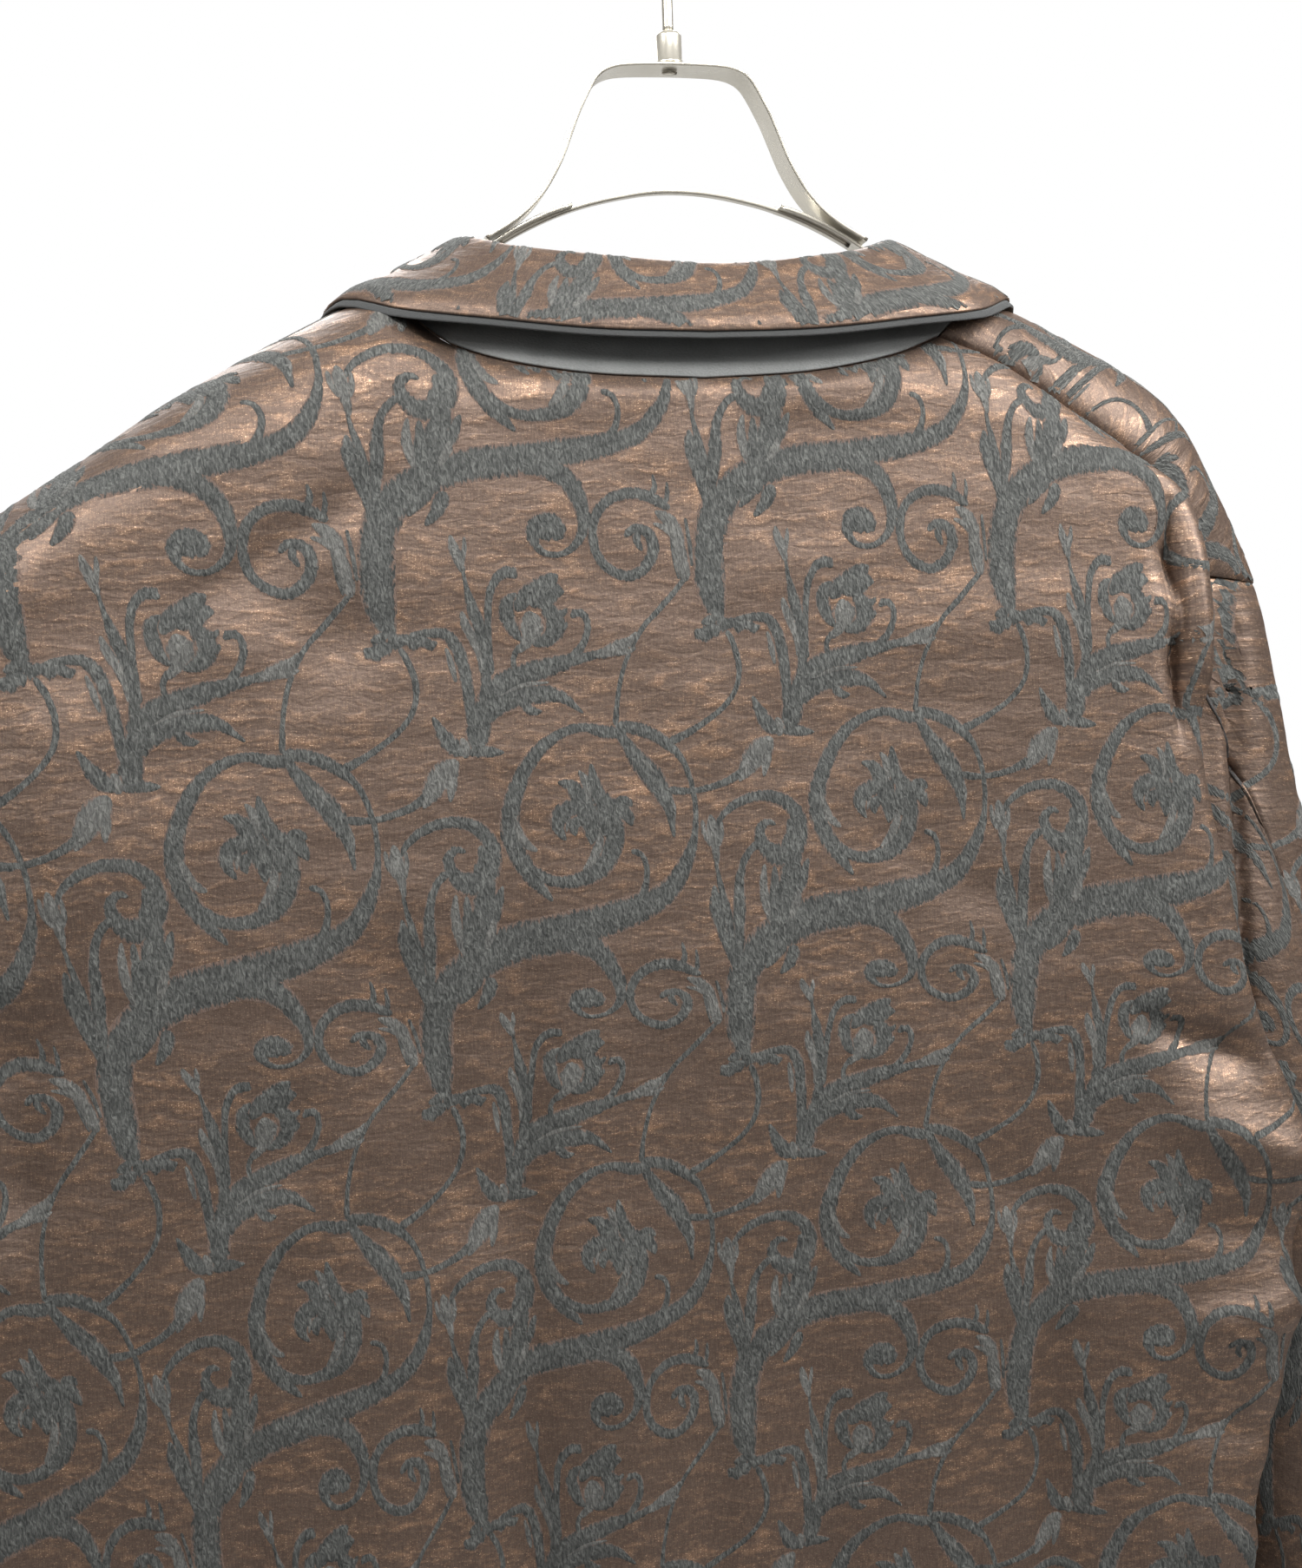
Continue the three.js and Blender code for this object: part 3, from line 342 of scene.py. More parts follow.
BACK = {
    "left": stations(
        "z midY edgeX edgeY turnX turnY seamX seamY",
        (-200, 50, 282, 40, 298, 32, 302, 18), (-330, 57, 298, 47, 313, 40, 316, 27),
        (-450, 58, 304, 48, 320, 40, 321, 26), (-572, 56, 310, 46, 326, 32, 320, 0),
        (-720, 53, 316, 42, 332, 28, 326, 0), (-960, 50, 312, 42, 330, 28, 325, 0)),
    "right": stations(
        "z midY edgeX edgeY turnX turnY seamX seamY",
        (-200, 50, 190, 45, 200, 43, 204, 41), (-290, 56, 210, 54, 215, 45, 202, 38),
        (-335, 57, 218, 59, 219, 46, 199, 34), (-374, 57, 211, 60, 212, 46, 199, 33),
        (-410, 58, 214, 60, 215, 46, 199, 31), (-445, 58, 221, 61, 222, 47, 200, 30),
        (-502, 58, 233, 61, 234, 46, 203, 22), (-572, 56, 258, 59, 257, 41, 206, 0),
        (-620, 55, 248, 58, 249, 41, 207, 0), (-690, 53, 241, 56, 242, 40, 208, 0),
        (-740, 52, 227, 55, 228, 38, 205, 0), (-860, 51, 243, 54, 244, 38, 210, 0),
        (-960, 50, 256, 52, 257, 36, 216, 0)),
}


def mix(low, high, share):
    return low + (high - low) * share


def smoothstep(value, low, high):
    share = np.clip((value - low) / (high - low), 0, 1)
    return share * share * (3 - 2 * share)


def read(table, key, column, where):
    """A smooth value of one column of a table, read at `where` in its `key` column."""
    keys, values = table[key], table[column]
    sign = 1 if keys[-1] > keys[0] else -1
    last = len(keys) - 1
    i = np.clip(np.searchsorted(sign * keys, sign * np.asarray(where, float)) - 1, 0, last - 1)
    low = np.maximum(np.arange(len(keys)) - 1, 0)
    high = np.minimum(np.arange(len(keys)) + 1, last)
    slope = (values[high] - values[low]) / (keys[high] - keys[low])
    span = keys[i + 1] - keys[i]
    f = np.clip((where - keys[i]) / span, 0, 1)
    f2, f3 = f * f, f * f * f
    return (values[i] * (2 * f3 - 3 * f2 + 1) + values[i + 1] * (3 * f2 - 2 * f3)
            + span * (slope[i] * (f3 - 2 * f2 + f) + slope[i + 1] * (f3 - f2)))


def spline(points, u):
    """Points at fractions u of clamped uniform cubic B-splines. points: (count, ..., size)."""
    points = np.asarray(points, float)
    spans = len(points) - 3
    t = np.minimum(np.asarray(u, float) * spans, spans - 1e-9)
    cell = np.floor(t).astype(int) + 3

    def knot(i):
        return np.clip(i - 3, 0, spans)

    lanes = np.indices(t.shape) if t.ndim else ()
    work = [points[(cell - 3 + j, *lanes)] for j in range(4)]
    for level in (1, 2, 3):
        for j in range(3, level - 1, -1):
            low, high = knot(cell - 3 + j), knot(cell + 1 + j - level)
            f = ((t - low) / (high - low))[..., None]
            work[j] = work[j - 1] * (1 - f) + work[j] * f
    return work[3]


def section(table, u, z):
    """The horizontal section of a body panel at heights z, at fractions u from its inner edge."""
    u, z = np.broadcast_arrays(np.asarray(u, float), np.asarray(z, float))
    at = {column: read(table, "z", column, z) for column in table if column != "z"}
    inner = at.get("inX", np.zeros(z.shape))
    reach = at["edgeX"] - inner
    line = [(inner, at["midY"]), (inner + 0.3 * reach, at["midY"]),
            (inner + 0.62 * reach, at["midY"] * 0.75 + at["edgeY"] * 0.25),
            (inner + 0.88 * reach, at["midY"] * 0.2 + at["edgeY"] * 0.8), (at["edgeX"], at["edgeY"]),
            (at["turnX"], at["turnY"]),
            (mix(at["turnX"], at["seamX"], 0.88), mix(at["turnY"], at["seamY"], 0.25)),
            (at["seamX"], at["seamY"])]
    return spline(np.array([np.stack(p, -1) for p in line]), u)


LAST_FACING = 0.85             # past this fraction a section turns back under the arm


def share_at(table, x, z):
    """The fraction of the section at height z whose x is the given one, found by halving."""
    low, high = np.zeros(np.shape(x)), np.full(np.shape(x), LAST_FACING)
    for _ in range(20):
        middle = (low + high) / 2
        short = section(table, middle, z)[..., 0] < x
        low, high = np.where(short, middle, low), np.where(short, high, middle)
    return low


def column_share(table, start, t):
    """How far along each section a column lies that hangs from a shoulder point."""
    straight = share_at(table, start[:, 0], start[:, 2] - SHOULDER_DROP)
    return mix(straight, 1, smoothstep(t, CLOSING_FROM, 1))


def ridge_at(side, t):
    """The top of the shoulder, over the hanger's arm, at fractions t from the neck."""
    table, t = SHOULDER[side], np.asarray(t, float)
    return np.stack([read(table, "t", "ridgeX", t), 0 * t, read(table, "t", "ridgeZ", t)], -1)


def along_line(table, key, names, where):
    """Points of a line whose x, y and z are three named columns of a table."""
    return np.stack([read(table, key, name, where) for name in names.split()], -1)


def seam_at(side, t):
    """The shoulder seam, at fractions t from the neck."""
    return along_line(SHOULDER[side], "t", "seamX seamY seamZ", np.asarray(t, float))


def round_off(side, table, u, start, steps):
    """The round of cloth from start points near the ridge to the hanging face below them."""
    lean_x, face_y = np.moveaxis(section(table, u, start[:, 2] - SHOULDER_DROP), -1, 0)
    first = np.arcsin(np.clip(start[:, 1] / face_y, -1, 0.999))
    lean = LEAN_DROP[side] * np.maximum(0, lean_x - start[:, 0])
    end = section(table, u, start[:, 2] - SHOULDER_DROP * np.cos(first) - lean)
    q = mix(first[:, None], math.pi / 2, steps)
    done = (np.sin(q) - np.sin(first)[:, None]) / (1 - np.sin(first))[:, None]
    fallen = SHOULDER_DROP * (np.cos(q) - np.cos(first)[:, None])
    return np.stack([mix(start[:, :1], end[:, :1], done ** 2), mix(start[:, 1:2], end[:, 1:], done),
                     start[:, 2:] + fallen - lean[:, None] * done ** 2], -1)


def hang(table, u, top_z, fractions):
    """Columns of points from their tops down to the hem."""
    z = mix(top_z[:, None], HEM_Z, fractions)
    return np.concatenate([section(table, u[:, None], z), z[..., None]], -1)


def fine_near_ends(count, near=0.012):
    """Even steps from 0 to 1 with one more close to each end, for the roll of the seams."""
    return np.unique(np.concatenate([np.linspace(0, 1, count + 1), [near, 1 - near]]))


ROUND_STEPS = np.concatenate([[0, 0.03], np.linspace(0, 1, 12)[1:]])
ARMHOLE_STEPS = np.linspace(0, 1, 67)[1:]
SIDE_STEPS = np.concatenate([np.linspace(0, 1, 95)[1:-1], [0.997, 1]])
NECK_STEPS = np.linspace(0, 1, 31)[:-1]
SEAM_STEPS = np.unique(np.concatenate([fine_near_ends(40, 0.006), np.linspace(0.6, 0.8, 33)]).round(5))


def hem_fractions(top):
    """The fractions of a column's drop at which it has points, the underarm's among them."""
    top = np.asarray(top, float)[..., None]
    heights = np.concatenate([mix(top, UNDERARM_Z, ARMHOLE_STEPS),
                              mix(UNDERARM_Z, HEM_Z, SIDE_STEPS) + 0 * top], -1)
    return (heights - top) / (HEM_Z - top)


def arc(points):
    """Lengths along the last-but-one axis of rows of points, starting at 0."""
    steps = np.linalg.norm(np.diff(points, axis=-2), axis=-1)
    return np.concatenate([np.zeros((*steps.shape[:-1], 1)), np.cumsum(steps, -1)], -1)


ACROSS = np.linspace(0, 1, 121)
LEVEL_STEP = 4                 # sections are measured at heights this far apart


def span_to(table, u, z):
    """Length of a section from the middle of the body to fractions u, at heights z."""
    flat_z = np.round(np.ravel(z) / LEVEL_STEP) * LEVEL_STEP
    levels, which = np.unique(flat_z, return_inverse=True)
    lines = section(table, ACROSS[None, :], levels[:, None])
    lengths = arc(lines) + lines[:, :1, 0]
    place = np.clip(np.ravel(u), 0, 1) * (len(ACROSS) - 1)
    i = np.minimum(place.astype(int), len(ACROSS) - 2)
    f = place - i
    which = which.ravel()
    return (lengths[which, i] * (1 - f) + lengths[which, i + 1] * f).reshape(np.shape(z))


def grain(table, u, points, lead, climb=0):
    """Where each point lies on the flat cloth: across from the middle of the body, and down.
    `lead` is the number of rows above the hanging face, `climb` of those up the far side."""
    down = np.empty(points.shape[:2])
    down[:, lead - 1:] = -points[:, lead - 1:, 2]
    above = arc(points[:, :lead, 1:] if climb else points[:, :lead])
    down[:, :lead] = down[:, lead - 1:lead] - (above[:, -1:] - above)
    out = np.empty_like(down)
    out[:, lead - 1:] = span_to(table, u[:, None] + 0 * down[:, lead - 1:], points[:, lead - 1:, 2])
    slack = out[:, lead - 1:lead] - points[:, lead - 1:lead, 0]
    if climb:
        slack = slack * smoothstep(np.arange(lead), climb, lead - 1)
    out[:, :lead] = points[:, :lead, 0] + slack
    laid = np.stack([out, down], -1)
    if climb:
        # the cap is unrolled about the ridge it is folded over
        ridge, flat = points[:, climb], laid[:, climb]
        ways = np.gradient(ridge, axis=0)
        flat_ways = np.gradient(flat, axis=0)
        ways /= np.linalg.norm(ways, axis=-1, keepdims=True)
        flat_ways /= np.linalg.norm(flat_ways, axis=-1, keepdims=True)
        reach = points[:, :climb] - ridge[:, None]
        beside = (reach * ways[:, None]).sum(-1)
        away = np.sqrt(np.maximum((reach ** 2).sum(-1) - beside ** 2, 0))
        outward = np.stack([flat_ways[:, 1], -flat_ways[:, 0]], -1)
        laid[:, :climb] = (flat[:, None] + beside[..., None] * flat_ways[:, None]
                           + away[..., None] * outward[:, None])
    return laid


def back_half(side):
    """One half of the back: its points, outward from the middle, and where they lie flat."""
    table = BACK[side]
    necks = along_line(NECK[side], "t", "x y z", NECK_STEPS)
    starts = np.concatenate([necks, seam_at(side, SEAM_STEPS)])
    t = np.concatenate([0 * NECK_STEPS, SEAM_STEPS])
    outer = round_off(side, table, np.ones(1), seam_at(side, [1.0]), ROUND_STEPS)
    u = column_share(table, starts, t)
    top = round_off(side, table, u, starts, ROUND_STEPS)
    fractions = mix(hem_fractions(MEAN_TOP), hem_fractions(outer[0, -1, 2]), u[:, None] ** 2)
    points = np.concatenate([top, hang(table, u, top[:, -1, 2], fractions)], 1)
    return points, grain(table, u, points, len(ROUND_STEPS))


HEM_DEPTH, HEM_PROUD = 32, 0.55        # the hem stands out a little
HEM_ROUND, HEM_REACH = 0.9, 3          # and is rounded inward at its very edge
EDGE_CURVE = 1.6


class Panel:
    """A piece of cloth: points on its middle, and where each lies on the flat cloth (mm)."""

    def __init__(self, name, points, laid, turn, wraps=False):
        self.name, self.points, self.laid, self.turn, self.wraps = name, points, laid, turn, wraps
        self.find_normals()

    def find_normals(self):
        p = self.points
        before, after = np.roll(p, 1, 0), np.roll(p, -1, 0)
        if not self.wraps:
            before[0], after[-1] = p[0], p[-1]
        rise = np.concatenate([p[:, :1], p[:, :-1]], 1)
        fall = np.concatenate([p[:, 1:], p[:, -1:]], 1)
        n = np.cross(after - before, fall - rise) * self.turn
        self.normals = n / np.maximum(np.linalg.norm(n, axis=-1, keepdims=True), 1e-9)

    def margins(self, sides):
        """Distance in mm of each point from the nearest of the named edges."""
        p = self.points
        near = np.full(p.shape[:2], np.inf)
        if "top" in sides:
            near = np.minimum(near, arc(p))
        if "foot" in sides:
            near = np.minimum(near, arc(p[:, ::-1])[:, ::-1])
        if "first" in sides:
            near = np.minimum(near, arc(p.swapaxes(0, 1)).T)
        if "last" in sides:
            near = np.minimum(near, arc(p[::-1].swapaxes(0, 1)).T[::-1])
        return near

    def push(self, amount):
        """Moves the cloth along its normals."""
        self.points = self.points + self.normals * amount[..., None]
        self.find_normals()

    def turn_hem(self):
        """Raises the cloth over the hem's depth, as a layer turned up inside would. The layer
        itself isn't built."""
        near = self.margins(("foot",))
        raised = HEM_PROUD * (1 - smoothstep(near, HEM_DEPTH - 2, HEM_DEPTH + 2))
        self.push(raised - HEM_ROUND * np.clip(1 - near / HEM_REACH, 0, 1) ** EDGE_CURVE)

    def roll_seams(self, sides, depth=1.1, reach=4.0):
        """Seam allowances pull the cloth in along a seam."""
        near = self.margins(sides)
        self.push(-depth * np.clip(1 - near / reach, 0, 1) ** EDGE_CURVE)


def joined(left, right):
    """Halves given outward from the middle become one grid from the wearer's left to the right."""
    mirror = np.array([-1, 1, 1])
    (lp, lg), (rp, rg) = left, right
    flat_left = lg * np.array([-1, 1])
    return (np.concatenate([lp[::-1], (rp * mirror)[1:]]), np.concatenate([flat_left[::-1], rg[1:]]))


LATTICE = 128                  # random heights each way, before they repeat


def cloud(laid, across, down, seed):
    """Soft random heights from -1 to 1 over the flat cloth, with bumps of about the given size."""
    lattice = np.random.default_rng(seed).uniform(-1, 1, (LATTICE, LATTICE))
    x, y = laid[..., 0] / across + LATTICE / 2, laid[..., 1] / down
    i, j = np.floor(x).astype(int), np.floor(y).astype(int)
    fx, fy = x - i, y - j
    fx, fy = fx * fx * (3 - 2 * fx), fy * fy * (3 - 2 * fy)
    value = 0
    for di, wx in ((0, 1 - fx), (1, fx)):
        for dj, wy in ((0, 1 - fy), (1, fy)):
            value = value + lattice[(i + di) % LATTICE, (j + dj) % LATTICE] * wx * wy
    return value


UNEVEN = ((1.5, 95, 70), (0.7, 48, 26), (0.34, 26, 9), (0.2, 15, 6))    # height, across, down
CRUMPLE_MARGIN = (2, 22)       # where it starts and is full, in from the sewn edges


def crumple(panel, sewn, amount, seed):
    """The cloth's own uneven surface: broad swells, and cross wrinkles of the slack weft. It
    fades out towards the edges that are sewn."""
    broad, less, wrinkle, fine = (height * cloud(panel.laid, across, down, seed + step)
                                  for step, (height, across, down) in enumerate(UNEVEN))
    uneven = (broad + less) + (wrinkle + fine)
    panel.push(amount * uneven * smoothstep(panel.margins(sewn), *CRUMPLE_MARGIN))


FOLD_GROWS, FOLD_FADES = (-0.1, 0.3), (0.7, 1.1)       # as fractions of a fold's length
BACK_FACING = (15, 35)         # a fold is full only where the cloth is well behind the hanger
FOLD_MARGIN = (1, 9)           # and in from the seams


def drape(panel, folds, side):
    """Presses single folds into a panel's back: (from x z, to x z, half width, rise), where x is
    taken outward on the wearer's side and a negative rise is a hollow."""
    x, y, z = np.moveaxis(panel.points, -1, 0)
    x = x * side
    lift = 0
    for ax, az, bx, bz, width, rise in folds:
        size = math.hypot(bx - ax, bz - az)
        ex, ez = (bx - ax) / size, (bz - az) / size
        along = ((x - ax) * ex + (z - az) * ez) / size
        off = (x - ax) * ez - (z - az) * ex
        fade = smoothstep(along, *FOLD_GROWS) * (1 - smoothstep(along, *FOLD_FADES))
        lift = lift + rise * fade * np.exp(-(off / width) ** 2)
    inward = panel.margins(("top", "first", "last"))
    panel.push(lift * smoothstep(y, *BACK_FACING) * smoothstep(inward, *FOLD_MARGIN))


RIM_OUT = 0.42                 # the wall's edge is rounded out by this many wall thicknesses


def grid_cells(index):
    """The four corners of every cell of a grid of point numbers."""
    return np.stack([index[:-1, :-1], index[1:, :-1], index[1:, 1:], index[:-1, 1:]], -1)


def cloth_object(panel, materials):
    """A closed wall of cloth on both sides of a panel, with soft round edges."""
    p, n = panel.points, panel.normals
    columns, rows = p.shape[:2]
    outer = (p + n * WALL / 2).reshape(-1, 3)
    inner = (p - n * WALL / 2).reshape(-1, 3)
    index = np.arange(columns * rows).reshape(columns, rows)
    cells = columns if panel.wraps else columns - 1
    here, there = index[:cells], index[(np.arange(cells) + 1) % columns]
    quads = np.stack([here[:, :-1], there[:, :-1], there[:, 1:], here[:, 1:]], -1).reshape(-1, 4)
    flat = panel.laid.reshape(-1, 2)
    corner = flat[quads].copy()
    total = columns * rows
    if panel.wraps:
        last = np.arange(len(quads)) >= (cells - 1) * (rows - 1)
        corner[last, 1:3, 0] = panel.girth
        rims = [(index[:, 0], index[:, 1]), (index[:, -1], index[:, -2])]
    else:
        ring = [index[:, 0], index[-1, 1:], index[:-1, -1][::-1], index[0, 1:-1][::-1]]
        inside = [index[:, 1], index[-2, 1:], index[:-1, -2][::-1], index[1, 1:-1][::-1]]
        rims = [(np.concatenate(ring), np.concatenate(inside))]
    points, faces, uv = [outer, inner], [quads, quads[:, ::-1] + total], [corner, corner[:, ::-1]]
    kinds = [np.zeros(len(quads), int), np.ones(len(quads), int)]
    flat_p = p.reshape(-1, 3)
    base = 2 * total
    for ring, inside in rims:
        out = flat_p[ring] - flat_p[inside]
        out /= np.maximum(np.linalg.norm(out, axis=-1, keepdims=True), 1e-9)
        points.append(flat_p[ring] + out * WALL * RIM_OUT)
        middle = base + np.arange(len(ring))
        base += len(ring)
        after = np.roll(ring, -1)
        middle_after = np.roll(middle, -1)
        for a, b, c, d in ((ring, after, middle_after, middle),
                           (middle, middle_after, after + total, ring + total)):
            faces.append(np.stack([a, b, c, d], -1))
            uv.append(np.stack([flat[ring], flat[after], flat[after], flat[ring]], 1))
            kinds.append(np.zeros(len(ring), int))
    points, faces, uv, kinds = (np.concatenate(x) for x in (points, faces, uv, kinds))
    mesh = bpy.data.meshes.new(panel.name)
    mesh.from_pydata((points * MM).tolist(), [], faces.tolist())
    mesh.uv_layers.new(name="grain").data.foreach_set("uv", (uv * MM).reshape(-1))
    mesh.polygons.foreach_set("material_index", kinds)
    made = bmesh.new()
    made.from_mesh(mesh)
    bmesh.ops.recalc_face_normals(made, faces=made.faces)
    made.to_mesh(mesh)
    made.free()
    return linked(panel.name, mesh, materials)


# The ground is a copper lame: brown warp with glinting metal weft. The weft is slack, so the
# cloth is covered with short soft cross wrinkles. Their crests are painted a lighter copper, a
# painted highlight where they catch the light, and small bright painted glints lie on them.
copper = Finish("copper_lame", Metallic=0.6)
weave = copper.node("UVMap", {"uv_map": "grain"})

wrinkle = copper.noise(weave, (72, 195, 1), Detail=2.2, Roughness=0.5, Distortion=0.5)
slub = copper.noise(weave, (220, 490, 1), Detail=2.0, Roughness=0.55, Distortion=0.5)
patches = copper.noise(weave, (11, 17, 1), Detail=2.0)
specks = copper.noise(weave, (520, 700, 1), Detail=3.0, Roughness=0.6)
warp = copper.noise(weave, (1700, 160, 1), Detail=1.0)
grit = copper.noise(weave, (1500, 1900, 1), Detail=1.0)
# painted highlight: the wrinkles' crests, strongest in patches, are painted a lighter copper
painted_crest_highlight = copper.blend(0.34, copper.ramp(wrinkle, (0.48, 0.0), (0.76, 1.0)),
                     copper.ramp(slub, (0.46, 0.0), (0.74, 1.0)))
painted_crest_highlight = copper.blend(1.0, painted_crest_highlight, copper.ramp(patches, (0.36, 0.3), (0.66, 1.0)), "MULTIPLY")
ground = copper.blend(copper.ramp(painted_crest_highlight, (0.05, 0.0), (0.6, 1.0)),
                      (0.172, 0.121, 0.091), (0.43, 0.262, 0.163))
ground = copper.blend(copper.ramp(specks, (0.35, 0.5), (0.62, 0.0)), ground, (0.095, 0.06, 0.047))
ground = copper.blend(copper.ramp(warp, (0.35, 0.45), (0.65, 0.0)), ground, (0.08, 0.053, 0.044))
# painted glints: small bright copper specks painted into the colour, mostly on the crests
painted_glints = copper.blend(1.0, copper.ramp(grit, (0.63, 0.0), (0.71, 1.0)),
                      copper.ramp(painted_crest_highlight, (0.05, 0.18), (0.5, 1.0)), "MULTIPLY")
copper.feed("Base Color", copper.blend(painted_glints, ground, (0.95, 0.66, 0.44)))
copper.feed("Roughness", copper.ramp(painted_crest_highlight, (0.1, 0.52), (0.6, 0.4)))
relief = copper.node("Bump", Strength=0.36, Distance=0.0016, Height=wrinkle)
relief = copper.node("Bump", Strength=0.3, Distance=0.0006, Height=slub, Normal=relief)
relief = copper.node("Bump", Strength=0.3, Distance=0.00025, Height=specks, Normal=relief)
copper.feed("Normal", relief)

# The reverse of the cloth, with the backing that stiffens it.
backing = Finish("charcoal_backing", Roughness=0.8)
threads = backing.noise(backing.node("UVMap", {"uv_map": "grain"}), (500, 1500, 1), Detail=2.0)
backing.feed("Base Color", backing.blend(threads, (0.018, 0.018, 0.019), (0.075, 0.066, 0.06)))
backing.feed("Normal", backing.node("Bump", Strength=0.3, Distance=0.0004, Height=threads))

back_points, back_laid = joined(back_half("left"), back_half("right"))
back_panel = Panel("jacket_back", back_points, back_laid, -1)
crumple(back_panel, ("top", "first", "last"), 1.0, 11)
# under the collar it stands off the neck, so it drops straight below the band
NECK_FOLD = (4, -233, 96, -231, 15, 3)
drape(back_panel, (
    NECK_FOLD,
    # a roll of slack cloth lies beside the right armhole, with a deep crease on its inner side
    (210, -288, 210, -378, 6, 6), (201, -290, 201, -384, 2.8, -12),
    # below it the cloth buckles across the folded side in ledges that catch the light
    (176, -506, 238, -532, 9, -8), (190, -547, 262, -580, 13, 9), (190, -596, 256, -606, 10, -4),
    (196, -645, 258, -634, 12, 7), (190, -684, 246, -690, 10, -4), (186, -728, 240, -742, 12, 4),
    (60, -420, 150, -470, 12, -1.6), (90, -560, 180, -610, 14, -2),
    # lower down it falls in soft upright folds
    (139, -540, 141, -1080, 11, -8), (94, -540, 92, -1080, 15, 4), (36, -540, 34, -1080, 14, -5),
    (178, -600, 182, -1080, 12, 5)), -1)
drape(back_panel, (
    NECK_FOLD,
    # longer, softer ones run out to the wearer's left shoulder and side
    (120, -262, 230, -330, 9, -2.2), (195, -300, 140, -350, 22, -3.5),
    (262, -340, 262, -470, 16, 6), (290, -470, 292, -580, 16, -8), (170, -520, 240, -590, 14, -3),
    (140, -460, 104, -590, 17, -3.5), (87, -400, 91, -1080, 12, -8), (48, -540, 47, -1080, 12, 4),
    (13, -560, 12, -1080, 12, -4), (148, -560, 152, -1080, 18, 5), (205, -620, 212, -1080, 14, -5)), 1)
back_panel.turn_hem()
back_panel.roll_seams(("top", "first", "last"))
jacket_back = cloth_object(back_panel, (copper.material, backing.material))
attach(jacket_back, "root")
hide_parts("back")

